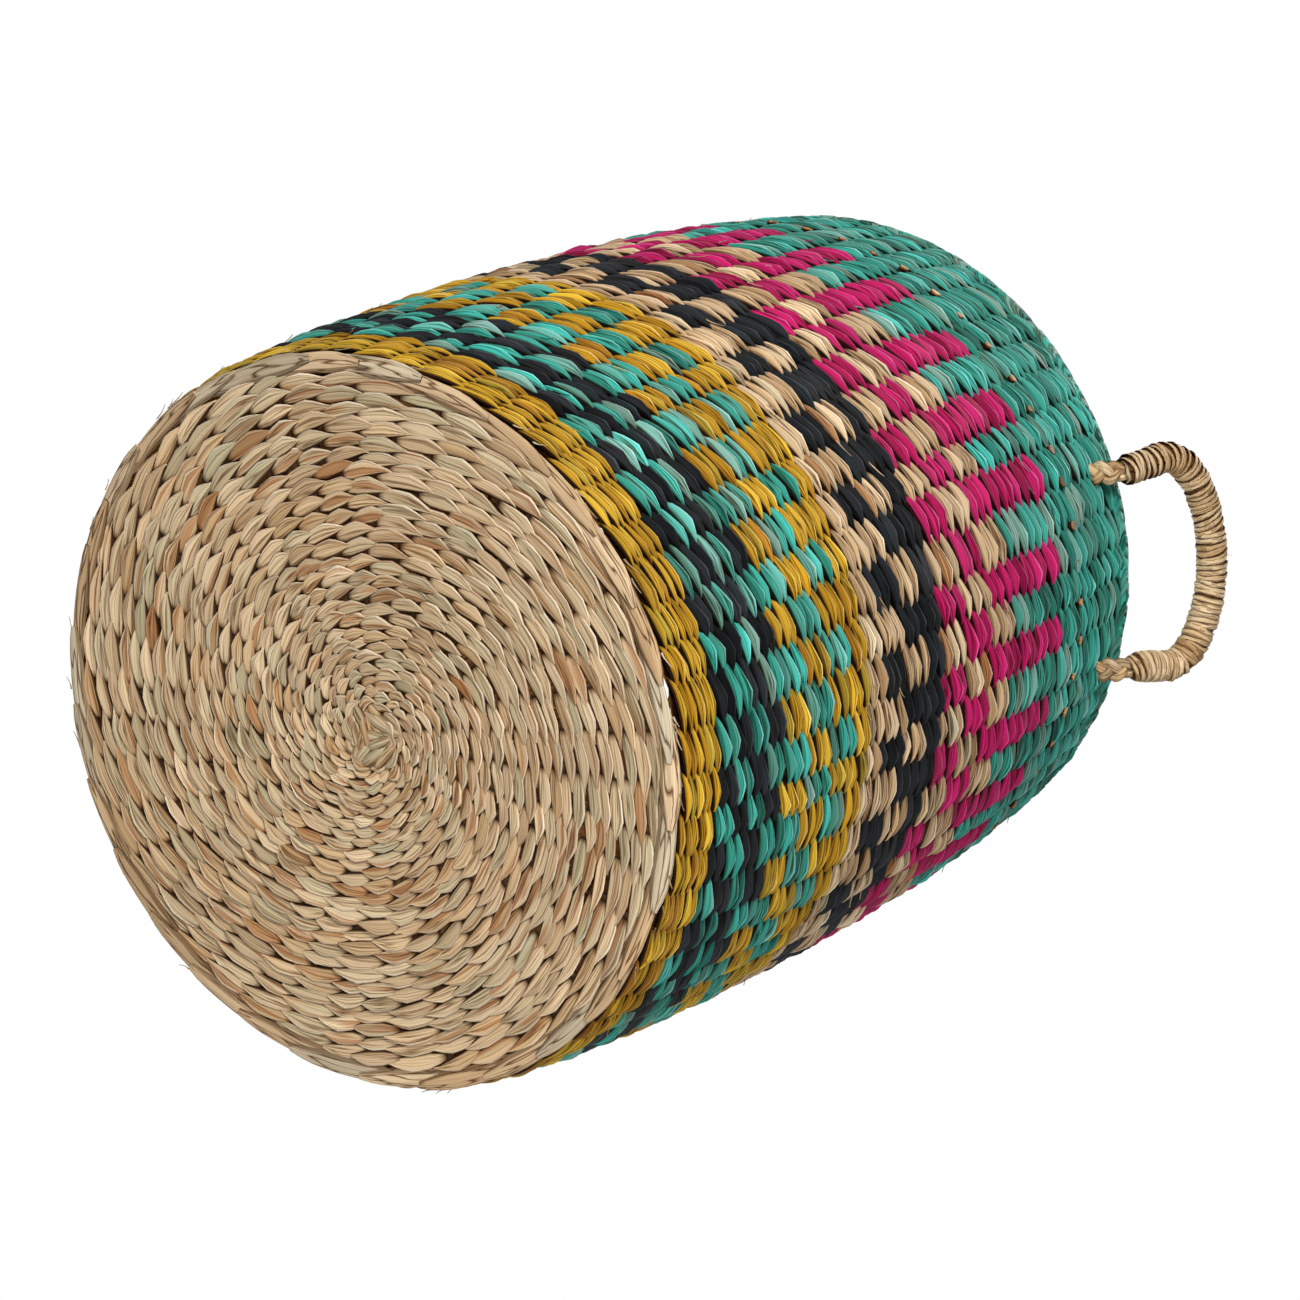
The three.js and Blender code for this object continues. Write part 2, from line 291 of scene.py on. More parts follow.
class BasketStage(bpy.types.PropertyGroup):
    """Camera, lamps and floor."""

    aim: point("Aim", "Point that the camera looks at", 0.01201, 0.01305, 0.21443)
    azimuth: degrees("Azimuth", "Camera's turn about the basket", 66.913)
    elevation: degrees("Elevation", "Camera's height over the horizon", -53.219)
    roll: degrees("Roll", "Camera's turn about its own line of sight", 68.067)
    distance: metres("Distance", "Camera to aim", 2.40832)
    lens: plain("Lens", "Focal length on a 36 mm sensor", 139.126)
    key: plain("Key light", "Power of the lamp over the camera", 38.0)
    fill: plain("Fill light", "Power of the lamp under the camera", 18.0)
    top: plain("Top light", "Power of the lamp over the mouth", 44.0)
    behind: plain("Back light", "Power of the lamp on the far side", 26.0)
    ambient: plain("Ambient", "Light that comes from all round", 0.13)
    floor: metres("Floor", "Half the width of the floor", 4.0)
    fade_start: metres("Fade start", "Radius at which the floor begins to fade to white", 0.40)
    fade_length: metres("Fade length", "Width of the floor's fade", 0.45)


# Surfaces

def smooth(value):
    """A step that eases from 0 to 1."""
    value = np.clip(value, 0, 1)
    return value * value * (3 - 2 * value)


def unit(ways):
    """Directions at length 1."""
    return ways / np.linalg.norm(ways, axis=-1, keepdims=True)


def outward(turn):
    """Directions away from the axis."""
    return np.stack([np.cos(turn), np.sin(turn), np.zeros_like(turn)], -1)


def sideways(turn):
    """Directions round the axis."""
    return np.stack([-np.sin(turn), np.cos(turn), np.zeros_like(turn)], -1)


def line_length(x, y):
    """Length along a flat line up to each of its points."""
    return np.concatenate([[0], np.cumsum(np.hypot(np.diff(x), np.diff(y)))])


def waves(rows, turn, along):
    """Sum of sine waves that run round the basket and drift along it."""
    return sum(size * np.sin(count * turn + drift * along + start) for size, count, drift, start in rows)


def rim_top():
    """Height of the top of the rim."""
    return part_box("rim_border")[1].z


def band_edges(band):
    """Heights of the lower and the upper edge of a band."""
    return [corner.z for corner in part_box(band)]


def band_dyes(band):
    """The two dyes of a band, which are the same in a plain one."""
    return CHECK_DYES.get(band, (BANDS[band][0],) * 2)


def wall_radius(body, height):
    """Outside radius of the wall: a parabola from the foot to the belly, then a power curve to the mouth."""
    below = np.clip(1 - height / body.belly_height, 0, None)
    above = np.clip((height - body.belly_height) / (rim_top() - body.belly_height), 0, None)
    return (body.belly_radius - (body.belly_radius - body.foot_radius) * below ** 2
            - (body.belly_radius - body.mouth_radius) * above ** body.shoulder_power)


class Stitch(NamedTuple):
    """How a kind of stitch lies: a course and a shade table, and the settings that go with them."""

    course: np.ndarray
    shade: np.ndarray
    fold: float
    lean: float
    swing: float
    tilt: float
    slip: float


def twine(rng, weave, kind, courses, pitches, phases, columns):
    """Strands of twined weft as arrays over (ring, step, side): turn, across, out, and their marks.

    Each strand repeats its course round the basket: it passes outside one stake and inside the next, and its
    long pointed tip lies over the start of the next stitch. The section is SECTION times the half widths,
    tilted so that the leading edge stands out where the stitch shows, and every stitch differs a little.
    """
    lead_spread, trail_spread, thickness_spread = 0.20, 0.14, 0.25
    tilt_spread, rise_spread = 0.6, 0.45
    lift_spread, shift_spread, turn_spread = 0.0006, 0.13, 0.10  # in metres, courses and stakes
    # Where the painted shade of a strand that dives into the weave fades out, and where the painted highlight
    # on its leading edge begins.
    show_start, show_length, highlight_start = 0.2, 0.5, 0.8  # in swings, and across the section
    run_stitches, run_share = 3, 0.55  # stitches of a strand that share a tone, and how much of it they share
    half = columns // 2
    rings = len(courses)
    courses, pitches = courses[:, None], pitches[:, None]
    period = np.repeat(np.arange(half), len(kind.course))
    s, bend, rise, lead, trail = np.tile(kind.course.T, half)
    stitch = (2 * period + (s > STITCH_END) - (s < STITCH_START)) % (2 * half)
    window = np.clip(np.abs(bend), 0, 1)

    def chance(spread):
        return weave.unevenness * spread * rng.uniform(-1, 1, (rings, 2 * half))[:, stitch] * window

    lead = lead * (1 + chance(lead_spread))
    trail = trail * (1 + chance(trail_spread))
    tilt = kind.tilt * (1 + chance(tilt_spread)) * np.clip(bend, -1, 1)
    lift = chance(lift_spread)
    shift = chance(shift_spread)
    starts = np.tile(rng.uniform(-kind.slip, kind.slip, rings // 2), 2) if kind.slip else np.zeros(rings)
    turn = (2 * period + (phases + starts)[:, None] + s) * TAU / columns
    wander = waves(COURSE_WAVES, turn, courses / pitches)
    middle = courses + pitches * (kind.lean * rise * (1 + chance(rise_spread)) + wander + shift)
    uneven = waves(STAKE_WAVES, turn * columns / WAVE_STAKES, courses) + chance(turn_spread)
    turn = turn + uneven * TAU / columns
    thick = weave.thickness * (1 + chance(thickness_spread))

    u, v = SECTION.T
    folds = rng.uniform(-kind.fold, kind.fold, (rings, 2 * half, len(u)))[:, stitch] * FOLDS * window[:, None]
    v = v + weave.unevenness * folds
    width = np.where(u > 0, lead[..., None], trail[..., None]) * u * pitches[..., None]
    across = middle[..., None] + width * np.cos(tilt)[..., None]
    out = (kind.swing * bend + lift)[..., None] + v * thick[..., None] + width * np.sin(tilt)[..., None]

    # Painted shade: dark where the strand dives into the weave, and across its section by the kind's shade
    # table, for the crevices between stitches.
    sunk = 1 - smooth((window - show_start) / show_length)[:, None]
    hollow = np.maximum(sunk, np.where(bend[:, None] < 0, INSIDE_SHADE, kind.shade))
    # Painted highlight on the leading edge where the stitch shows.
    edge = np.where(u > highlight_start, 1.0, 0.0) * np.clip(bend, 0, 1)[:, None]
    run = rng.uniform(0, 1, (rings, half // run_stitches + 2))[:, (stitch // 2) // run_stitches]
    own = rng.uniform(0, 1, (rings, 2 * half))[:, stitch]
    return {
        "turn": turn[..., None],
        "across": across,
        "out": out,
        "hollow": np.clip(hollow, 0, 1),
        "edge": edge,
        "tone": run_share * run + (1 - run_share) * own,
        "along": 2 * period + s,
    }


def round_points(radius, turn, height):
    """Points from radius, turn about the axis and height."""
    radius, turn, height = np.broadcast_arrays(radius, turn, height)
    return np.stack([radius * np.cos(turn), radius * np.sin(turn), height], -1)


def base_points(weave, radius, turn, height, reach):
    """Points of the base: its rings begin off centre and come true at the border."""
    off_centre = (1 - np.clip(radius / reach, 0, 1))[..., None] * np.array((*weave.centre, 0.0))
    return round_points(radius, turn, height) + off_centre


def sweep(path, side, normal, wide, thick, section=8):
    """A tube of elliptic section over (strand, step): a middle line, two directions and two half sizes."""
    angle = np.arange(section) * TAU / section
    side, normal = (np.broadcast_to(way, path.shape)[..., None, :] for way in (side, normal))
    wide, thick = (np.broadcast_to(size, path.shape[:-1])[..., None] for size in (wide, thick))
    across, out = (wide * np.cos(angle))[..., None] * side, (thick * np.sin(angle))[..., None] * normal
    return path[..., None, :] + across + out


def marks_of(points, tone, hollow=0.0):
    """Marks of strands without a painted edge highlight: a tone for each strand or step, and the painted
    shade at each point.
    """
    return {
        "tone": np.broadcast_to(tone, points.shape[:2]),
        "hollow": hollow,
        "edge": 0.0,
    }


def edge_shade(section, power):
    """Painted shade round a tube's section, for the crevices where it meets its neighbours: dark at its two
    edges only.
    """
    return np.abs(np.cos(np.arange(section) * TAU / section)) ** power


def strand_mesh(name, points, along, marks, loop=None, crisp=CREASED):
    """A mesh of tubes over (strand, step, side), round in side and, where loop is given, in step.

    marks holds tone, one value for each strand and step, and the painted shade and the painted edge
    highlight, one for each point. The map holds the place along the strand, in stitches, and the place
    round the section, from 0 to 1. loop is the length of a closed strand in stitches. Edges that bend by
    more than crisp, in degrees, are sharp.
    """
    strands, steps, sides = points.shape[:3]
    index = np.arange(strands * steps * sides).reshape(strands, steps, sides)
    rows = steps if loop else steps - 1
    step = np.arange(rows)
    here, ahead = index[:, step], index[:, (step + 1) % steps]
    turn = (np.arange(sides) + 1) % sides
    quads = np.stack([here, ahead, ahead[:, :, turn], here[:, :, turn]], -1)
    a, b, c = (points.reshape(-1, 3)[quads[..., k]] for k in range(3))
    inside_out = np.einsum("...i,...i", a, np.cross(b, c)).sum() < 0
    order = slice(None, None, -1 if inside_out else 1)
    faces = quads[..., order].reshape(-1, 4)
    caps = np.empty((0, sides), int) if loop else np.concatenate([index[:, 0, ::-1], index[:, -1]])[:, order]

    ends = np.append(along, along[0] + loop) if loop else along
    low, high = (np.broadcast_to(ends[at][:, None], (rows, sides)) for at in (step, step + 1))
    near = np.broadcast_to(np.arange(sides) / sides, (rows, sides))
    far = near + 1 / sides
    u = np.stack([low, high, high, low], -1)
    v = np.stack([near, near, far, far], -1)
    uv = np.broadcast_to(np.stack([u, v], -1)[..., order, :], (strands, rows, sides, 4, 2))

    mesh = bpy.data.meshes.new(name)
    corners = np.concatenate([faces.ravel(), caps.ravel()])
    starts = np.concatenate([np.arange(len(faces)) * 4, faces.size + np.arange(len(caps)) * sides])
    mesh.vertices.add(points[..., 0].size)
    mesh.vertices.foreach_set("co", points.astype(np.float32).ravel())
    mesh.loops.add(len(corners))
    mesh.loops.foreach_set("vertex_index", corners.astype(np.int32))
    mesh.polygons.add(len(starts))
    mesh.polygons.foreach_set("loop_start", starts.astype(np.int32))
    mesh.update(calc_edges=True)
    mesh.validate()
    layer = mesh.uv_layers.new(name="strand")
    layer.data.foreach_set("uv", np.concatenate([uv.ravel(), np.zeros(caps.size * 2)]).astype(np.float32))
    tone = np.broadcast_to(marks["tone"][:, step, None], (strands, rows, sides)).ravel()
    tone = np.concatenate([tone, np.repeat(marks["tone"][:, 0], len(caps) // strands)])
    mesh.attributes.new("tone", "FLOAT", "FACE").data.foreach_set("value", tone.astype(np.float32))
    for mark in ("hollow", "edge"):
        values = np.broadcast_to(marks[mark], points.shape[:3]).astype(np.float32)
        mesh.attributes.new(mark, "FLOAT", "POINT").data.foreach_set("value", values.ravel())
    mesh.set_sharp_from_angle(angle=math.radians(crisp))
    return mesh


def add_piece(mesh, material, body=None, replaced=()):
    """Links the mesh as a piece, gives it its finish and sets it to move with the body that is named."""
    piece = bpy.data.objects.new(mesh.name, mesh)
    bpy.context.scene.collection.objects.link(piece)
    mesh.materials.append(material)
    if body:
        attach(piece, body)
    if replaced:
        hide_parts(*replaced)
    return piece


# Materials

def add_node(tree, kind, **values):
    """A shader node of a kind, with values for the inputs that are named."""
    node = tree.nodes.new(f"ShaderNode{kind}")
    for label, value in values.items():
        node.inputs[label].default_value = value
    return node


def feed(tree, socket, value):
    """Links an output to an input socket, or sets the socket to a value."""
    if hasattr(value, "links"):
        tree.links.new(value, socket)
    else:
        socket.default_value = value


def maths(tree, operation, *values, clamp=False):
    """A Math node on sockets or numbers."""
    node = add_node(tree, "Math")
    node.operation, node.use_clamp = operation, clamp
    for socket, value in zip(node.inputs, values):
        feed(tree, socket, value)
    return node.outputs[0]


def mixed(tree, blend, factor, first, second):
    """A colour Mix node on sockets or values."""
    node = add_node(tree, "Mix")
    node.data_type, node.blend_type = "RGBA", blend
    for number, value in ((0, factor), (6, first), (7, second)):
        feed(tree, node.inputs[number], value)
    return node.outputs[2]


def mixed_shader(tree, factor, first, second):
    """A Mix Shader node on three sockets."""
    node = add_node(tree, "MixShader")
    for socket, value in zip(node.inputs, (factor, first, second)):
        feed(tree, socket, value)
    return node.outputs[0]


def attribute(tree, name):
    """The value of a mark."""
    node = add_node(tree, "Attribute")
    node.attribute_name = name
    return node.outputs["Fac"]


def new_group(name, inputs, outputs):
    """A shader node group with inputs (name, default), numbers or colours, and outputs (name, kind)."""
    group = bpy.data.node_groups.new(name, "ShaderNodeTree")
    for label, value in inputs:
        kind = "NodeSocketFloat" if isinstance(value, float) else "NodeSocketColor"
        group.interface.new_socket(name=label, in_out="INPUT", socket_type=kind).default_value = value
    for label, kind in outputs:
        group.interface.new_socket(name=label, in_out="OUTPUT", socket_type=kind)
    return group, group.nodes.new("NodeGroupInput").outputs, group.nodes.new("NodeGroupOutput").inputs


def grain_group():
    """Fibres and creases that run along a strand: noise drawn out along the map, different in each stitch."""
    if "Strand grain" in bpy.data.node_groups:
        return bpy.data.node_groups["Strand grain"]
    tree, given, result = new_group(
        "Strand grain",
        [("Fibres", 22.0), ("Creases", 9.0), ("Drawn out", 0.8)],
        [(label, "NodeSocketFloat") for label in ("Fibre", "Crease", "Streak", "Height")],
    )
    stitch_apart, crease_width, crease_height = 57.0, 0.05, 0.8
    stain_share, stain_level, stain_edge = 0.6, 0.55, 0.10
    uv = add_node(tree, "UVMap")
    uv.uv_map = "strand"
    split = add_node(tree, "SeparateXYZ")
    feed(tree, split.inputs[0], uv.outputs["UV"])
    seed = maths(tree, "MULTIPLY", attribute(tree, "tone"), stitch_apart)

    def drawn(scale, detail):
        place = add_node(tree, "CombineXYZ")
        feed(tree, place.inputs[0], maths(tree, "MULTIPLY", split.outputs["X"], given["Drawn out"]))
        feed(tree, place.inputs[1], maths(tree, "MULTIPLY", split.outputs["Y"], scale))
        feed(tree, place.inputs[2], seed)
        noise = add_node(tree, "TexNoise", Scale=1.0, Detail=detail)
        feed(tree, noise.inputs["Vector"], place.outputs[0])
        return noise.outputs["Fac"]

    fibre = drawn(given["Fibres"], 3.0)
    gap = maths(tree, "ABSOLUTE", maths(tree, "SUBTRACT", drawn(given["Creases"], 1.0), 0.5))
    crease = maths(tree, "SUBTRACT", 1.0, maths(tree, "DIVIDE", gap, crease_width), clamp=True)
    stain = drawn(maths(tree, "MULTIPLY", given["Creases"], stain_share), 2.0)
    streak = maths(tree, "DIVIDE", maths(tree, "SUBTRACT", stain, stain_level), stain_edge, clamp=True)
    height = maths(tree, "SUBTRACT", fibre, maths(tree, "MULTIPLY", crease, crease_height))
    for label, value in (("Fibre", fibre), ("Crease", crease), ("Streak", streak), ("Height", height)):
        feed(tree, result[label], value)
    return tree


def shade_group():
    """Strand colour: streaked with a second dye, darker along fibres, with painted shade in creases, in
    crevices and where the strand goes down into the weave, a painted highlight on its edge, and lighter or
    darker from stitch to stitch."""
    if "Strand shade" in bpy.data.node_groups:
        return bpy.data.node_groups["Strand shade"]
    grey = (0.8, 0.8, 0.8, 1)
    tree, given, result = new_group(
        "Strand shade",
        [("Dye", grey), ("Streak dye", grey), ("Fibre", 0.5), ("Crease", 0.0), ("Streak", 0.0),
         ("Contrast", 0.5), ("Crease depth", 0.5), ("Streak depth", 0.5), ("Hollow depth", 0.85),
         ("Pale edge", 0.3), ("Patchy", 0.3)],
        [("Colour", "NodeSocketColor")],
    )
    shade_power, highlight_power, highlight_gamma = 1.3, 1.8, 0.42
    warmth = (1.0, 1.15, 1.3)  # powers that turn the shade in red, green and blue from grey to brown

    def product(*values):
        total = values[0]
        for value in values[1:]:
            total = maths(tree, "MULTIPLY", total, value)
        return total

    def less(first, second):
        return maths(tree, "SUBTRACT", first, second)

    contrast = product(less(given["Fibre"], 0.5), given["Contrast"], 2.0)
    # Painted shade: darker along the crease lines, and by the point mark of painted shade in crevices and
    # where strands dive into the weave.
    crease = less(1.0, product(given["Crease"], given["Crease depth"]))
    sunk = maths(tree, "POWER", attribute(tree, "hollow"), shade_power)
    hollow = less(1.0, product(sunk, given["Hollow depth"]))
    patch = add_node(tree, "TexWhiteNoise")
    patch.noise_dimensions = "1D"
    feed(tree, patch.inputs["W"], attribute(tree, "tone"))
    offset = product(less(patch.outputs["Value"], 0.5), given["Patchy"])
    light = product(maths(tree, "ADD", 1.0, contrast), maths(tree, "ADD", 1.0, offset))
    level = product(light, crease, hollow)
    # Painted highlight: the edge mark mixes the dye towards a brighter gamma of itself.
    edge = product(maths(tree, "POWER", attribute(tree, "edge"), highlight_power), given["Pale edge"])
    streak = product(given["Streak"], given["Streak depth"])
    dye = mixed(tree, "MIX", streak, given["Dye"], given["Streak dye"])
    bright = add_node(tree, "Gamma", Gamma=highlight_gamma)
    feed(tree, bright.inputs["Color"], dye)
    pale = mixed(tree, "MIX", edge, dye, bright.outputs[0])
    # The painted shade is tinted brown by raising it to the warmth powers.
    brown = add_node(tree, "CombineColor")
    for socket, power in zip(brown.inputs, warmth):
        feed(tree, socket, maths(tree, "POWER", level, power))
    feed(tree, result["Colour"], mixed(tree, "MULTIPLY", 1.0, pale, brown.outputs[0]))
    return tree


def strand_material(name, dye, shares=DYE_SHARES, grain=(26.0, 8.0, 0.3), contrast=0.7, edge_highlight=0.3,
                    hollow=0.97, crease=0.85, streak="_deep", streaks=0.4, patchy=0.4, relief=0.6):
    """Seagrass in one dye: a stitch's tone picks a deep, usual, pale or odd strand; groups add grain, painted
    shade and a painted edge highlight.
    """
    if name in bpy.data.materials:
        return bpy.data.materials[name]
    roughness, roughness_spread, relief_depth, gloss = 0.62, 0.3, 0.0006, 0.06
    colours = bpy.context.scene.basket_colours
    material = bpy.data.materials.new(name)
    material.use_nodes = True
    tree = material.node_tree
    shader = tree.nodes["Principled BSDF"].inputs
    ramp = add_node(tree, "ValToRGB")
    stops = ramp.color_ramp.elements
    while len(stops) < len(shares):
        stops.new(0.5)
    for stop, place, kind in zip(stops, shares, ("_deep", "", "_pale", "_odd")):
        stop.position = place
        stop.color = (*getattr(colours, dye + kind), 1)
    feed(tree, ramp.inputs["Fac"], attribute(tree, "tone"))
    fibres = add_node(tree, "Group")
    fibres.node_tree = grain_group()
    for label, value in zip(("Fibres", "Creases", "Drawn out"), grain):
        fibres.inputs[label].default_value = value
    shade = add_node(tree, "Group")
    shade.node_tree = shade_group()
    given = {
        "Dye": ramp.outputs["Color"], "Streak dye": (*getattr(colours, dye + streak), 1),
        "Contrast": contrast, "Pale edge": edge_highlight, "Hollow depth": hollow, "Crease depth": crease,
        "Streak depth": streaks, "Patchy": patchy,
    }
    for label in ("Fibre", "Crease", "Streak"):
        given[label] = fibres.outputs[label]
    for label, value in given.items():
        feed(tree, shade.inputs[label], value)
    rough = maths(tree, "MULTIPLY", fibres.outputs["Fibre"], roughness_spread)
    rough = maths(tree, "ADD", rough, roughness - roughness_spread / 2, clamp=True)
    bump = add_node(tree, "Bump", Strength=relief, Distance=relief_depth)
    feed(tree, bump.inputs["Height"], fibres.outputs["Height"])
    feed(tree, shader["Base Color"], shade.outputs["Colour"])
    feed(tree, shader["Roughness"], rough)
    feed(tree, shader["Normal"], bump.outputs["Normal"])
    shader["Specular IOR Level"].default_value = gloss
    return material


def dyed(dye):
    """The wall's finish for a dye."""
    return strand_material(
        f"Seagrass {dye}", dye, WALL_SHARES.get(dye, DYE_SHARES), contrast=0.55, edge_highlight=EDGE_HIGHLIGHTS[dye],
        streak="_odd" if dye == "teal" else "_deep", patchy=0.5)


# Operators

class BASKET_OT_wall(bpy.types.Operator):
    """Twine the weft bands of the wall, one piece for each dye of a band"""

    bl_idname = "basket.wall"
    bl_label = "Twine the wall"

    def execute(self, context):
        body, weave = context.scene.basket_body, context.scene.basket_weave
        kind = Stitch(COURSE, WALL_SHADE, weave.fold, weave.lean, weave.swing, weave.tilt, 0.0)
        for number, (band, outside) in enumerate(BANDS.items()):
            rng = np.random.default_rng(SEEDS["wall"] + number)
            low, high = band_edges(band)
            pitch = (high - low) / len(outside)
            heights = low + pitch * (np.arange(len(outside)) + 0.5)
            dyes = band_dyes(band)
            odd = np.array([dye != dyes[0] for dye in outside], int)
            for dye in dict.fromkeys(dyes):
                courses, phases = heights, odd if dye == dyes[0] else 1 - odd
                if dyes[0] == dyes[1]:
                    courses, phases = np.tile(heights, 2), np.repeat([0, 1], len(heights))
                strands = twine(rng, weave, kind, courses, np.full(len(courses), pitch), phases, weave.stakes)
                radius = wall_radius(body, strands["across"]) - body.wall / 2 + strands["out"]
                points = round_points(radius, strands["turn"] + weave.first_stake, strands["across"])
                mesh = strand_mesh(f"weft_{band}_{dye}", points, strands["along"], strands, weave.stakes)
                add_piece(mesh, dyed(dye), "basket", [band])
        return {"FINISHED"}


class BASKET_OT_base(bpy.types.Operator):
    """Twine the rings of the base from its centre, with more stakes in each zone outwards"""

    bl_idname = "basket.base"
    bl_label = "Twine the base"

    def execute(self, context):
        weave = context.scene.basket_weave
        material = strand_material(
            "Seagrass base", "natural", shares=(0.03, 0.13, 0.52, 0.95), contrast=0.65, edge_highlight=0.4,
            crease=0.65, streaks=0.75, patchy=0.32, relief=0.35)
        self.rings(weave, material)
        self.leaves(weave, material)
        return {"FINISHED"}

    def rings(self, weave, material):
        """Two strands on each ring: the ring's radius across, and down out of the base's middle."""
        strand_room, least_radius = 0.0024, 0.0002
        low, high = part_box("base_weave")
        reach, middle, swing = high.x, (low.z + high.z) / 2, (high.z - low.z) / 2 - strand_room
        kind = Stitch(BASE_COURSE, BASE_SHADE, weave.base_fold, weave.base_lean, swing, weave.base_tilt,
                      weave.base_slip)
        fine = round(weave.fine_reach / weave.fine_pitch)
        total = fine + round((reach - weave.fine_reach) / weave.ring_pitch)
        rings = np.interp(np.arange(0.5, total), (0, fine, total), (0, weave.fine_reach, reach))
        widths = np.gradient(rings)
        stops = [start for start, _ in BASE_ZONES[1:]] + [reach]
        for number, ((start, columns), stop) in enumerate(zip(BASE_ZONES, stops)):
            rng = np.random.default_rng(SEEDS["base"] + number)
            chosen = (rings >= start) & (rings < stop)
            courses, pitches = np.tile(rings[chosen], 2), np.tile(widths[chosen], 2)
            strands = twine(rng, weave, kind, courses, pitches, np.repeat([0, 1], chosen.sum()), columns)
            radius = np.maximum(strands["across"], least_radius)
            points = base_points(weave, radius, strands["turn"], middle - strands["out"], reach)
            mesh = strand_mesh(f"base_rings_{number}", points, strands["along"], strands, columns)
            add_piece(mesh, material, "basket", ["base_weave"])

    def leaves(self, weave, material):
        """Flat leaves over the centre: tapered blades, spread by the golden angle over a small disc."""
        count, steps, section = 26, 9, 8
        disc, half_width, half_thickness = 0.011, 0.0028, 0.0006
        height, stack, droop = 0.0026, 0.0018, 0.0012
        half_lengths, golden_half, golden_angle = (0.0065, 0.0095), 0.618, 2.4
        rng = np.random.default_rng(SEEDS["leaves"])
        number = np.arange(count)[:, None]
        s = np.linspace(-1, 1, steps)
        way = (number * golden_half + rng.uniform(-0.08, 0.08, (count, 1))) * math.pi
        spot = round_points(disc * np.sqrt(number / (count - 1)), number * golden_angle, 0.0)
        layer = rng.permutation(count)[:, None] / count
        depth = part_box("base_weave")[0].z + height - stack * layer + droop * s ** 4
        blade = round_points(s * rng.uniform(*half_lengths, (count, 1)), way, depth)
        taper = np.interp(np.abs(s), (0, 0.5, 1), (1, 0.9, 0.25))
        wide = half_width * taper * rng.uniform(0.8, 1.15, (count, 1))
        path = blade + spot + np.array((*weave.centre, 0.0))
        points = sweep(path, sideways(way), UP, wide, half_thickness, section)
        # Painted shade along both edges of each leaf.
        marks = marks_of(points, rng.uniform(0.15, 1, (count, 1)), edge_shade(section, 3))
        add_piece(strand_mesh("base_centre", points, s, marks), material, "basket")


class BASKET_OT_base_border(bpy.types.Operator):
    """Lay the flat border strands round the edge of the base"""

    bl_idname = "basket.base_border"
    bl_label = "Lay the base border"

    def execute(self, context):
        body = context.scene.basket_body
        count, steps, taper = 30, 12, 0.95
        corner, inward, upward = 0.0035, 0.020, 0.006  # the line that the strands lie on, in section
        half_width, thickness, sunk, climb = 0.0058, 0.0005, 0.0016, 0.0007
        slant, slant_spread = 0.0012, 0.0008
        ragged_slant, ragged_spread = 0.0008, 0.0007
        rng = np.random.default_rng(SEEDS["border"])
        bend = corner * math.pi / 2
        length = np.concatenate([np.linspace(-inward, 0, 5), np.linspace(0.0005, bend, 8), [bend + upward]])
        angle = np.clip(length / corner, 0, math.pi / 2)
        radius = body.foot_radius - corner + np.minimum(length, 0) + corner * np.sin(angle)
        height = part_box("base_border")[0].z + corner * (1 - np.cos(angle)) + np.maximum(length - bend, 0)

        s = np.linspace(-taper, taper, steps)
        turn = (np.arange(count)[:, None] + rng.uniform(-0.15, 0.15, (count, 1)) + s) * TAU / count
        middle = slant * (s - 1) + slant_spread * rng.uniform(-1, 1, (count, 1))
        wide = half_width * np.interp(np.abs(s), (0.5, taper), (1, 0.3))
        wide = wide * (1 + 0.12 * rng.uniform(-1, 1, (count, 1)))
        u, v = SECTION.T
        place = middle[..., None] + wide[..., None] * u
        out = climb * s[:, None] + thickness * v - sunk
        ragged = ragged_slant * s + ragged_spread * rng.uniform(-1, 1, (count, 1))
        turned = np.interp(place, length, angle)
        radii = np.interp(place, length, radius) + np.sin(turned) * (out + ragged[..., None])
        heights = np.interp(place, length, height) - np.cos(turned) * out
        points = round_points(radii, turn[..., None], heights)
        # Painted shade across each border strand, lighter than the base's shade table.
        marks = marks_of(points, rng.uniform(0.1, 1, (count, 1)), 0.7 * BASE_SHADE)
        material = strand_material(
            "Seagrass border", "border", grain=(26.0, 7.0, 0.5), contrast=0.35, edge_highlight=0.2)
        mesh = strand_mesh("base_border_strands", points, 2 * s, marks)
        add_piece(mesh, material, "basket", ["base_border"])
        return {"FINISHED"}


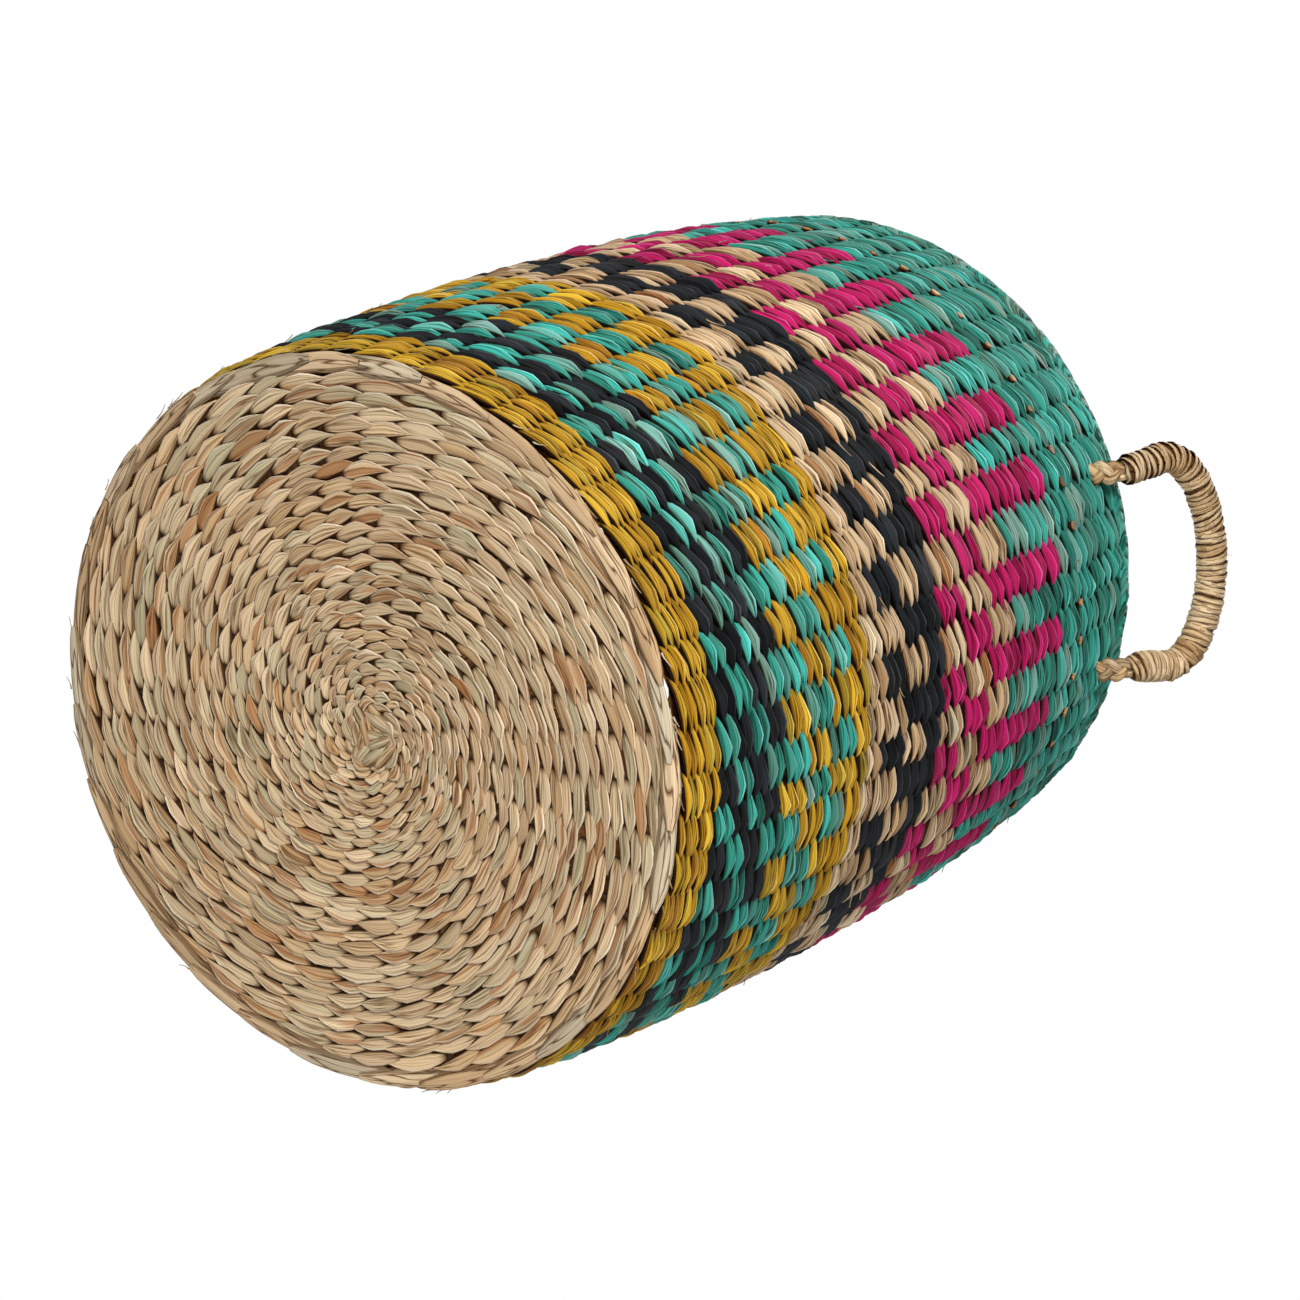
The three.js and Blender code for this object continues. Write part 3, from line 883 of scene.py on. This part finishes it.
class BASKET_OT_loose_ends(bpy.types.Operator):
    """Leave split strand ends on the wall and the border: tapered blades on short rising curves"""

    bl_idname = "basket.loose_ends"
    bl_label = "Leave loose ends"

    def execute(self, context):
        body = context.scene.basket_body
        per_band, steps, section = 12, 7, 6
        border_edges, border_shares = (0.0020, 0.0045), 3
        reaches, rises, stand_offs = (0.005, 0.010), (-0.1, 0.35), (0.0012, 0.0030)
        half_widths, half_thickness = (0.0004, 0.0009), 0.0002
        sunk, taper = 0.0006, 0.85
        spans = {"border": [border_edges] * border_shares}
        for band in BANDS:
            for dye in dict.fromkeys(band_dyes(band)):
                spans.setdefault(dye, []).append(band_edges(band))
        s = np.linspace(0, 1, steps)
        for number, (dye, edges) in enumerate(spans.items()):
            rng = np.random.default_rng(SEEDS["loose_ends"] + number)
            low, high = np.repeat(edges, per_band, axis=0).T[..., None]
            reach = rng.uniform(*reaches, low.shape)
            height = rng.uniform(low, high) + rng.uniform(*rises, low.shape) * reach * s
            out = rng.uniform(*stand_offs, low.shape) * s ** 2 - sunk
            turn = rng.uniform(0, TAU, low.shape) + reach * s / body.belly_radius
            path = round_points(wall_radius(body, height) + out, turn, height)
            wide = rng.uniform(*half_widths, low.shape) * (1 - taper * s)
            points = sweep(path, UP, outward(turn), wide, half_thickness, section)
            marks = marks_of(points, rng.uniform(0, 1, low.shape))
            mesh = strand_mesh(f"loose_ends_{dye}", points, s, marks, crisp=ROUNDED)
            material = bpy.data.materials["Seagrass border"] if dye == "border" else dyed(dye)
            add_piece(mesh, material, "basket")
        return {"FINISHED"}


class BASKET_OT_rim_border(bpy.types.Operator):
    """Wrap the rim: closed loops of strand that lean over the edge from the outside to the inside"""

    bl_idname = "basket.rim_border"
    bl_label = "Wrap the rim border"

    def execute(self, context):
        body = context.scene.basket_body
        loops, steps, section = 176, 14, 6
        lean = 3.2  # loops between the outside and the middle of a wrap
        below, top_room, side_room = 0.004, 0.0008, 0.0002
        half_width, half_thickness = 0.0035, 0.0011
        low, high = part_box("rim_border")
        rng = np.random.default_rng(SEEDS["rim"])
        angle = np.arange(steps) * TAU / steps
        size = 1 + 0.12 * rng.uniform(-1, 1, (loops, 1))
        rise = np.where(np.sin(angle) > 0, high.z - low.z - top_room, below)
        turn = (np.arange(loops)[:, None] - lean * np.cos(angle)) * TAU / loops
        radius = wall_radius(body, low.z) - body.wall / 2 + (body.wall / 2 - side_room) * np.cos(angle) * size
        path = round_points(radius, turn, low.z + rise * np.sin(angle) * size)
        normal = np.cos(angle)[:, None] * outward(turn) + np.sin(angle)[:, None] * UP
        points = sweep(path, sideways(turn), normal, half_width * size, half_thickness, section)
        # Painted shade where a loop turns under the rim, and along both edges of each loop.
        shaded_underside = (np.sin(angle) < -0.9)[:, None]
        marks = marks_of(points, rng.uniform(0, 1, (loops, 1)), np.maximum(shaded_underside, edge_shade(section, 3)))
        mesh = strand_mesh("rim_border_wraps", points, np.arange(steps) / steps, marks, 1.0)
        add_piece(mesh, dyed("teal"), "basket", ["rim_border"])
        return {"FINISHED"}


class BASKET_OT_stakes(bpy.types.Operator):
    """Set the stakes inside the wall and the base, and their cut ends below the rim band"""

    bl_idname = "basket.stakes"
    bl_label = "Set the stakes"

    def execute(self, context):
        body, weave = context.scene.basket_body, context.scene.basket_weave
        rng = np.random.default_rng(SEEDS["stakes"])
        self.upright(body, weave, rng)
        self.spokes(weave, rng)
        self.cut_ends(body, weave, rng)
        return {"FINISHED"}

    def upright(self, body, weave, rng):
        """Flat stakes up the middle of the wall, with painted shade that makes them dark in the gaps between
        stitches and leaves only their inner side light.
        """
        steps, stitches, margin = 24, 20, 0.006
        half_width, half_thickness = 0.0098, 0.0009
        # Painted shade round a stake's section: near black on its edges and outer side, lighter inside.
        stake_shade = np.array((1.0, 1.0, 1.0, 1.0, 0.3, 0.3))
        height = np.linspace(margin, rim_top() - margin, steps)
        turn = weave.first_stake + np.arange(weave.stakes)[:, None] * TAU / weave.stakes
        path = round_points(wall_radius(body, height) - body.wall / 2, turn, height)
        points = sweep(path, sideways(turn), outward(turn), half_width, half_thickness, len(stake_shade))
        marks = marks_of(points, rng.uniform(0, 0.6, turn.shape), stake_shade)
        mesh = strand_mesh("stakes", points, np.linspace(0, stitches, steps), marks)
        add_piece(mesh, strand_material("Stakes", "cut", edge_highlight=0.0), "basket")

    def spokes(self, weave, rng):
        """Flat stakes in the middle of the base, wider outwards so that they all but meet, with painted shade
        on all but their top.
        """
        count, steps, stitches = 42, 12, 8
        start, share, half_thickness = 0.004, 0.99, 0.0006
        # Painted shade round a spoke's section: darker on its edges and underside, light on top.
        spoke_shade = np.array((0.8, 0.2, 0.2, 0.8, 0.8, 0.8))
        low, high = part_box("base_weave")
        radius = np.linspace(start, high.x, steps)
        turn = np.arange(count)[:, None] * TAU / count
        path = base_points(weave, radius, turn, (low.z + high.z) / 2, high.x)
        wide = radius * share * math.pi / count
        points = sweep(path, sideways(turn), UP, wide, half_thickness, len(spoke_shade))
        marks = marks_of(points, rng.uniform(0, 0.6, turn.shape), spoke_shade)
        mesh = strand_mesh("base_stakes", points, np.linspace(0, stitches, steps), marks)
        add_piece(mesh, strand_material("Base stakes", "cut", edge_highlight=0.0), "basket")

    def cut_ends(self, body, weave, rng):
        """Short stubs that come out through the wall, leaning down inwards, with painted shade on all but
        their cut ends.
        """
        steps, depth, slope, drift = 6, 0.006, 0.35, 0.4
        lift, wander = 0.0012, 0.08  # in metres and stakes
        proud, proud_spread, half_width, half_height = 0.0007, 0.0008, 0.0021, 0.0032
        count = (weave.stakes, 1)
        reach = np.linspace(-depth, 0.0, steps)
        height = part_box("teal_rim_band")[0].z + rng.uniform(-lift, lift, count) + slope * reach
        stake = np.arange(weave.stakes)[:, None] + 0.5 + rng.uniform(-wander, wander, count)
        turn = weave.first_stake + stake * TAU / weave.stakes + drift * reach
        out = proud - proud_spread * rng.uniform(0, 1, count) + reach
        path = round_points(wall_radius(body, height) + out, turn, height)
        normal = 0.94 * UP - 0.33 * outward(turn)
        size = rng.uniform(0.8, 1.25, count)
        points = sweep(path, sideways(turn), normal, half_width * size, half_height * size)
        # Painted shade on every ring but the last, so that only the cut end is light.
        shaded_shaft = (np.arange(steps) < steps - 1)[:, None]
        marks = marks_of(points, rng.uniform(0.1, 1, count), shaded_shaft)
        mesh = strand_mesh("stake_ends", points, np.linspace(0, 1, steps), marks, crisp=ROUNDED)
        add_piece(mesh, strand_material("Stake ends", "cut", edge_highlight=0.0), "basket")


def hinge_of(side):
    """Hinge point of the handle on a side, and the sign of its X."""
    joint = next(j for j in frame["joints"] if j["name"] == f"handle_{side}_swing")
    return np.array(joint["pos_m"]), math.copysign(1, joint["pos_m"][0])


def handle_points(local, side, lean):
    """Points from a handle's plane (out of the plane, along the hinge, up the handle) to the frame."""
    hinge, sign = hinge_of(side)
    out = local[..., 0] * math.cos(lean) + local[..., 2] * math.sin(lean)
    up = local[..., 2] * math.cos(lean) - local[..., 0] * math.sin(lean)
    return np.stack([hinge[0] + sign * out, hinge[1] + sign * local[..., 1], hinge[2] + up], -1)


class HandleLine:
    """Middle line of a winding in the handle's plane: two legs that spread upwards, and a half ellipse."""

    def __init__(self, handles):
        bend_steps, leg_steps, spread_share = 400, 40, 0.75
        half, leg, start = handles.span / 2, handles.leg, handles.wrap_start
        angle = np.linspace(math.pi, 0, bend_steps)
        up = np.linspace(start, leg, leg_steps)
        y = np.concatenate([np.full(leg_steps, -half), half * np.cos(angle), np.full(leg_steps, half)])
        h = np.concatenate([up, leg + (handles.reach - leg) * np.sin(angle), up[::-1]])
        spread = 2 * smooth((h - start) / (spread_share * handles.reach - start)) - 1
        self.y, self.h = y * (1 + handles.spread / half * spread), h
        self.length = line_length(self.y, self.h)
        self.end = self.length[-1]

    def at(self, place):
        """Points at lengths along the line."""
        y, h = (np.interp(place, self.length, values) for values in (self.y, self.h))
        return np.stack([np.zeros_like(place), y, h], -1)


class BASKET_OT_windings(bpy.types.Operator):
    """Wind the handles: a cord carried round the handle's middle line as a close, uneven helix"""

    bl_idname = "basket.windings"
    bl_label = "Wind the handles"

    def execute(self, context):
        handles = context.scene.basket_handles
        material = strand_material(
            "Handle cord", "rope", grain=(10.0, 5.0, 0.12), contrast=0.5, edge_highlight=0.0, crease=0.5,
            streaks=0.3, patchy=0.1)
        line = HandleLine(handles)
        for number, side in enumerate(("right", "left")):
            rng = np.random.default_rng(SEEDS["windings"] + number)
            self.cord(handles, side, line, rng, material)
            self.core(handles, side, line)
            self.fibres(handles, side, line, rng, material)
        return {"FINISHED"}

    def girth(self, handles, line, place):
        """Outside radius of the winding, which closes in on the braid at both ends."""
        closing, slimmer = 0.005, 0.0022
        return handles.wrap_radius - slimmer * (1 - smooth(np.minimum(place, line.end - place) / closing))

    def add(self, name, points, along, marks, material, slot, handles, side, replaced=()):
        """Turns points of the handle's plane into a piece that moves with the handle."""
        placed = handle_points(points, side, handles.lean)
        mesh = strand_mesh(f"{name}_{side}", placed, along, marks, crisp=ROUNDED)
        add_piece(mesh, material, f"handle_{side}", replaced)

    def cord(self, handles, side, line, rng, material):
        """A flat cord on a helix whose slant, place, radius and width wander, tipped like roof tiles."""
        per_turn, loose_turns, near = 16, 1.8, 0.001
        slant_size, place_size, radius_size, width_size = 0.0026, 0.0005, 0.0004, 0.28
        sunk, half_thickness = 0.0009, 0.0006
        ply_turns, stitches, tip = 2.3, 3, math.radians(18)
        # Painted shade round the cord's section: light on its outer face, dark at both edges and on its inner
        # side.
        shade = np.array((1.0, 0.85, 0.0, 0.2, 1.0, 1.0, 1.0, 1.0))
        t = np.linspace(0, 1, handles.turns * per_turn)
        turn = t * handles.turns
        angle = turn * TAU
        knots = np.arange(handles.turns * 2 + 1) / 2
        slow = np.arange(0, handles.turns + 3, loose_turns)

        def chance(spots, low=-1.0, high=1.0):
            return np.interp(turn, spots, rng.uniform(low, high, len(spots)))

        slant = slant_size * chance(slow)
        lag = chance(slow, -1.5, 1.5)
        place = t * line.end + place_size * chance(knots)
        place = np.clip(place + slant * np.cos(angle + lag), 0.0, line.end)
        radius = self.girth(handles, line, place) - sunk + radius_size * chance(knots)
        tangent = unit(line.at(place + near) - line.at(place - near))
        crossways = np.cross(OUT_OF_PLANE, tangent)
        radial = np.cos(angle)[:, None] * crossways + np.sin(angle)[:, None] * OUT_OF_PLANE
        path = line.at(place) + radius[:, None] * radial
        ply = np.cos(2 * ply_turns * angle)
        fade = np.clip(np.minimum(t, 1 - t) * handles.turns * 4, 0.15, 1)
        wide = handles.cord * (1 + 0.15 * ply) * (1 + width_size * chance(knots)) * fade
        thick = half_thickness * (1 - 0.2 * ply) * fade
        across = math.cos(tip) * tangent - math.sin(tip) * radial
        proud = math.cos(tip) * radial + math.sin(tip) * tangent
        points = sweep(path[None], across, proud, wide, thick, len(shade))
        marks = marks_of(points, chance(slow, 0.1, 0.9), shade)
        self.add("handle_winding", points, stitches * turn, marks, material, "handle_cord", handles, side,
                 [f"handle_wrap_{side}"])

    def core(self, handles, side, line):
        """The rope inside the winding: a round section carried along the handle's middle line."""
        steps, section = 60, 12
        margin, room, stitch = 0.001, 0.0012, 0.01
        place = np.linspace(margin, line.end - margin, steps)
        path = line.at(place)
        crossways = unit(np.cross(OUT_OF_PLANE, np.gradient(path, axis=0)))
        size = self.girth(handles, line, place) - room
        points = sweep(path[None], crossways, OUT_OF_PLANE, size, size, section)
        material = strand_material("Handle core", "cut")
        # Painted shade over the whole core, which lies under the winding.
        marks = marks_of(points, 0.3, 0.8)
        self.add("handle_core", points, place / stitch, marks, material, "handle_rope", handles, side,
                 [f"handle_rope_{side}"])

    def fibres(self, handles, side, line, rng, material):
        """Loose fibres that stand off the winding: thin tapered tubes on short curves."""
        count, steps, section = 7, 6, 5
        sunk, half_width, reaches = 0.0012, 0.00028, (0.0015, 0.004)
        taper, curl = 0.8, 0.7
        s = np.linspace(0, 1, steps)
        middle = line.at(rng.uniform(0.1, 0.9, count) * line.end)
        angle = rng.uniform(0, TAU, (count, 1))
        away = unit(middle - np.array((0, 0, handles.leg / 2)))
        radial = np.cos(angle) * away + np.sin(angle) * OUT_OF_PLANE
        bent = rng.uniform(-1, 1, (count, 3))
        reach = rng.uniform(*reaches, (count, 1, 1))
        start = middle + radial * (handles.wrap_radius - sunk)
        curve = s[:, None] * radial[:, None] + curl * s[:, None] ** 2 * bent[:, None]
        across = unit(np.cross(radial, bent))
        wide = half_width * (1 - taper * s)
        other = np.cross(across, radial)
        points = sweep(start[:, None] + reach * curve, across[:, None], other[:, None], wide, wide, section)
        marks = marks_of(points, rng.uniform(0, 1, (count, 1)))
        self.add("handle_fibres", points, s, marks, material, "handle_cord", handles, side)


class BASKET_OT_braids(bpy.types.Operator):
    """Braid the rope ends that come out of the wall and bend into the handles"""

    bl_idname = "basket.braids"
    bl_label = "Braid the handle ends"

    def execute(self, context):
        handles, body = context.scene.basket_handles, context.scene.basket_body
        material = strand_material(
            "Handle rope", "rope", grain=(12.0, 6.0, 0.6), contrast=0.6, edge_highlight=0.1, hollow=0.6,
            crease=0.6)
        for number, side in enumerate(("right", "left")):
            self.braid(handles, body, side, np.random.default_rng(SEEDS["braids"] + number), material)
        return {"FINISHED"}

    def braid(self, handles, body, side, rng, material):
        """Three strands on each leg: a sine sideways and one of twice the rate in and out, along a rounded
        corner from the middle of the wall up into the winding, where they close in."""
        plies, steps, corner_steps, section = 3, 34, 60, 8
        bend, covered, pitch, stitch = 0.008, 0.004, 0.021, 0.01
        leg_phase, held = 40, 0.8  # between the legs, and the share in the wall that stays with it
        side_size, proud_size = 0.0033, 0.0016
        half_width, half_thickness = 0.0031, 0.0025
        closing_start, closing = 0.012, 0.010
        hinge, sign = hinge_of(side)
        half = handles.span / 2
        wall = math.sqrt((wall_radius(body, hinge[2]) - body.wall / 2) ** 2 - half ** 2)
        inner = abs(hinge[0]) - wall
        up = np.array((math.sin(handles.lean), math.cos(handles.lean)))
        t = np.linspace(0, 1, corner_steps)[:, None]
        corner = (1 - t) ** 2 * np.array((-bend, 0)) + t ** 2 * bend * up
        line = np.concatenate([[[-inner, 0]], corner, [(handles.wrap_start + covered) * up]]).T
        run = line_length(*line)
        place = np.linspace(0, run[-1], steps)
        middle = np.stack([np.interp(place, run, values) for values in line], -1)
        x, z = middle.T
        tx, tz = unit(np.gradient(middle, axis=0)).T

        legs = np.repeat([-1, 1], plies)[:, None] * (half - handles.spread)
        ply = np.tile(np.arange(plies), 2)[:, None] / plies
        phase = (place / pitch + ply) * TAU + leg_phase * legs
        inside = np.clip((place - run[-1] + closing_start) / closing, 0, 1)
        swing = side_size * (1 - 0.5 * inside) * np.sin(phase)
        proud = proud_size * (1 - 0.4 * inside) * np.sin(2 * phase)
        out, rise = sign * (x - tz * proud), z + tx * proud
        path = np.stack([hinge[0] + out, sign * (legs + swing), hinge[2] + rise], -1)
        normal = np.stack([-sign * tz, np.zeros(steps), tx], -1)
        points = sweep(path, np.array((0.0, 1.0, 0.0)), normal, half_width, half_thickness, section)
        # Painted shade along both edges of each ply.
        marks = marks_of(points, rng.uniform(0.2, 1, (2 * plies, 1)), edge_shade(section, 4))
        mesh = strand_mesh(f"handle_braid_{side}", points, place / stitch, marks, crisp=ROUNDED)
        piece = add_piece(mesh, material, None, [f"handle_rope_{side}"])
        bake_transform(piece)


class BASKET_OT_lashings(bpy.types.Operator):
    """Tie the lashings that hold the handle ends: two plies twisted along a closed ring through the wall"""

    bl_idname = "basket.lashings"
    bl_label = "Tie the lashings"

    def execute(self, context):
        body, radius = context.scene.basket_body, context.scene.basket_handles.lashing_radius
        material = strand_material("Lashing", "teal", grain=(8.0, 5.0, 0.5), edge_highlight=0.0, hollow=0.5)
        for side in ("right", "left"):
            for end in ("front", "back"):
                self.lashing(body, radius, side, end, material)
        return {"FINISHED"}

    def lashing(self, body, radius, side, end, material):
        """A ring squared by a small power of its cosine and sine, bent to the wall, with two plies."""
        steps, section, per_stitch = 96, 6, 8
        squareness, twists = 0.35, 6
        under_face, past_wall = 0.0035, 0.0005
        ply_place, ply_size = 0.5, 0.55  # in radii of the lashing
        node = f"lashing_{side}_{end}"
        low, high = (np.array(corner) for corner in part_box(node))
        middle = (low + high) / 2
        wall = wall_radius(body, middle[2])
        outer, inner = wall - under_face, wall - body.wall - past_wall
        a = np.arange(steps) * TAU / steps
        through, along = (np.sign(wave) * np.abs(wave) ** squareness for wave in (np.cos(a), np.sin(a)))
        reach = (outer + inner) / 2 + (outer - inner) / 2 * through
        turn = np.arcsin(middle[1] / wall) + ((high[1] - low[1]) / 2 - radius) / wall * along
        ring = round_points(reach, turn, middle[2]) * np.array((math.copysign(1, middle[0]), 1, 1))
        flat = unit(np.cross(np.roll(ring, -1, axis=0) - np.roll(ring, 1, axis=0), UP))
        twist = (twists * a + np.array(((0.0,), (math.pi,))))[..., None]
        path = ring + ply_place * radius * (np.cos(twist) * flat + np.sin(twist) * UP)
        points = sweep(path, flat, UP, ply_size * radius, ply_size * radius, section)
        marks = marks_of(points, np.array(((0.3,), (0.6,))))
        along_map = np.arange(steps) / per_stitch
        mesh = strand_mesh(f"lashing_cord_{side}_{end}", points, along_map, marks, steps / per_stitch)
        add_piece(mesh, material, "basket", [node])


class BASKET_OT_stage(bpy.types.Operator):
    """Set the camera, the lamps, the white surroundings and the floor"""

    bl_idname = "basket.stage"
    bl_label = "Set the stage"

    def execute(self, context):
        scene = context.scene
        scene.view_settings.view_transform = "Standard"
        turn = self.camera(scene, scene.basket_stage)
        self.lamps(scene, scene.basket_stage, turn)
        self.surroundings(scene, scene.basket_stage)
        self.floor(scene, scene.basket_stage)
        return {"FINISHED"}

    def camera(self, scene, stage):
        """A camera at a distance from its aim, by azimuth, elevation and roll; returns its directions."""
        a, e = stage.azimuth, stage.elevation
        back = Vector((math.sin(a) * math.cos(e), -math.cos(a) * math.cos(e), math.sin(e)))
        right = Vector(UP).cross(back).normalized()
        level = Matrix((right, back.cross(right).normalized(), back)).transposed()
        turn = level.to_4x4() @ Matrix.Rotation(stage.roll, 4, "Z")
        camera = bpy.data.objects.new("camera", bpy.data.cameras.new("camera"))
        camera.data.lens, camera.data.sensor_width = stage.lens, 36
        camera.matrix_world = Matrix.Translation(Vector(stage.aim) + back * stage.distance) @ turn
        scene.collection.objects.link(camera)
        scene.camera = camera
        return turn.to_3x3()

    def lamps(self, scene, stage, turn):
        """Round lamps that face the aim: two placed from the camera's directions, two from the basket's."""
        aim = Vector(stage.aim)
        lamps = (
            ("key_lamp", aim + (turn @ Vector((0.25, 0.60, 1.2))).normalized() * 1.9, 0.4, stage.key),
            ("fill_lamp", aim + (turn @ Vector((-0.2, -0.9, 0.8))).normalized() * 2.0, 1.0, stage.fill),
            ("top_lamp", Vector((0.25, -0.35, 2.0)), 1.2, stage.top),
            ("back_lamp", Vector((-1.75, 0.75, 1.0)), 1.2, stage.behind),
        )
        for name, place, size, power in lamps:
            data = bpy.data.lights.new(name, "AREA")
            data.shape, data.size, data.energy = "DISK", size, power
            lamp = bpy.data.objects.new(name, data)
            lamp.location = place
            lamp.rotation_euler = (place - aim).to_track_quat("Z", "Y").to_euler()
            scene.collection.objects.link(lamp)

    def surroundings(self, scene, stage):
        """Even light from all round, and plain white where the camera sees it or sees through to it."""
        world = bpy.data.worlds.new("White surroundings")
        scene.world = world
        world.use_nodes = True
        tree = world.node_tree
        light = tree.nodes["Background"]
        light.inputs["Color"].default_value = WHITE
        light.inputs["Strength"].default_value = stage.ambient
        white = add_node(tree, "Background", Color=WHITE)
        rays = add_node(tree, "LightPath").outputs
        seen = maths(tree, "MAXIMUM", rays["Is Glossy Ray"], rays["Is Transmission Ray"])
        seen = maths(tree, "MAXIMUM", rays["Is Camera Ray"], seen)
        surface = mixed_shader(tree, seen, light.outputs[0], white.outputs[0])
        feed(tree, tree.nodes["World Output"].inputs["Surface"], surface)

    def floor(self, scene, stage):
        """A pale floor that keeps the shadow, fades to white outwards and is clear from below."""
        mesh = bpy.data.meshes.new("floor")
        corners = [(x * stage.floor, y * stage.floor, 0) for x, y in ((-1, -1), (1, -1), (1, 1), (-1, 1))]
        mesh.from_pydata(corners, [], [(0, 1, 2, 3)])
        floor = bpy.data.objects.new("floor", mesh)
        scene.collection.objects.link(floor)
        paint = bpy.data.materials.new("Floor")
        paint.use_nodes = True
        tree = paint.node_tree
        pale = tree.nodes["Principled BSDF"]
        pale.inputs["Base Color"].default_value = (0.9, 0.9, 0.9, 1)
        pale.inputs["Roughness"].default_value = 0.9
        pale.inputs["Emission Color"].default_value = WHITE
        pale.inputs["Emission Strength"].default_value = 0.25
        far = add_node(tree, "VectorMath")
        far.operation = "LENGTH"
        feed(tree, far.inputs[0], add_node(tree, "TexCoord").outputs["Object"])
        faded = maths(tree, "SUBTRACT", far.outputs["Value"], stage.fade_start)
        faded = maths(tree, "DIVIDE", faded, stage.fade_length, clamp=True)
        glow = add_node(tree, "Emission", Color=WHITE)
        ground = mixed_shader(tree, faded, pale.outputs[0], glow.outputs[0])
        camera_ray = add_node(tree, "LightPath").outputs["Is Camera Ray"]
        below = add_node(tree, "NewGeometry").outputs["Backfacing"]
        shown = maths(tree, "SUBTRACT", camera_ray, below, clamp=True)
        surface = mixed_shader(tree, shown, add_node(tree, "BsdfTransparent").outputs[0], ground)
        feed(tree, tree.nodes["Material Output"].inputs["Surface"], surface)
        mesh.materials.append(paint)


class BASKET_PT_panel(bpy.types.Panel):
    """Buttons that weave the basket, and its settings"""

    bl_idname = "BASKET_PT_panel"
    bl_label = "Twined Basket"
    bl_space_type = "VIEW_3D"
    bl_region_type = "UI"
    bl_category = "Basket"

    def draw(self, context):
        for operator in OPERATORS:
            self.layout.operator(operator.bl_idname)
        for group in SETTINGS:
            box = self.layout.box()
            settings = getattr(context.scene, group)
            for key in settings.bl_rna.properties.keys():
                if key not in ("rna_type", "name"):
                    box.prop(settings, key)


SETTINGS = {
    "basket_body": BasketBody,
    "basket_weave": BasketWeave,
    "basket_handles": BasketHandles,
    "basket_colours": BasketColours,
    "basket_stage": BasketStage,
}
OPERATORS = (
    BASKET_OT_stage, BASKET_OT_wall, BASKET_OT_base, BASKET_OT_base_border, BASKET_OT_loose_ends,
    BASKET_OT_rim_border, BASKET_OT_stakes, BASKET_OT_windings, BASKET_OT_braids, BASKET_OT_lashings,
)


def register():
    """Adds the classes to Blender and the settings to its scenes."""
    for cls in (*SETTINGS.values(), *OPERATORS, BASKET_PT_panel):
        bpy.utils.register_class(cls)
    for name, group in SETTINGS.items():
        setattr(bpy.types.Scene, name, PointerProperty(type=group))


def unregister():
    """Takes the settings and the classes out again."""
    for name in SETTINGS:
        delattr(bpy.types.Scene, name)
    for cls in reversed((*SETTINGS.values(), *OPERATORS, BASKET_PT_panel)):
        bpy.utils.unregister_class(cls)


def main():
    """Weaves the whole basket on its stage."""
    register()
    bpy.ops.basket.stage()
    bpy.ops.basket.wall()
    bpy.ops.basket.base()
    bpy.ops.basket.base_border()
    bpy.ops.basket.loose_ends()
    bpy.ops.basket.rim_border()
    bpy.ops.basket.stakes()
    bpy.ops.basket.windings()
    bpy.ops.basket.braids()
    bpy.ops.basket.lashings()


if __name__ == "__main__":
    main()
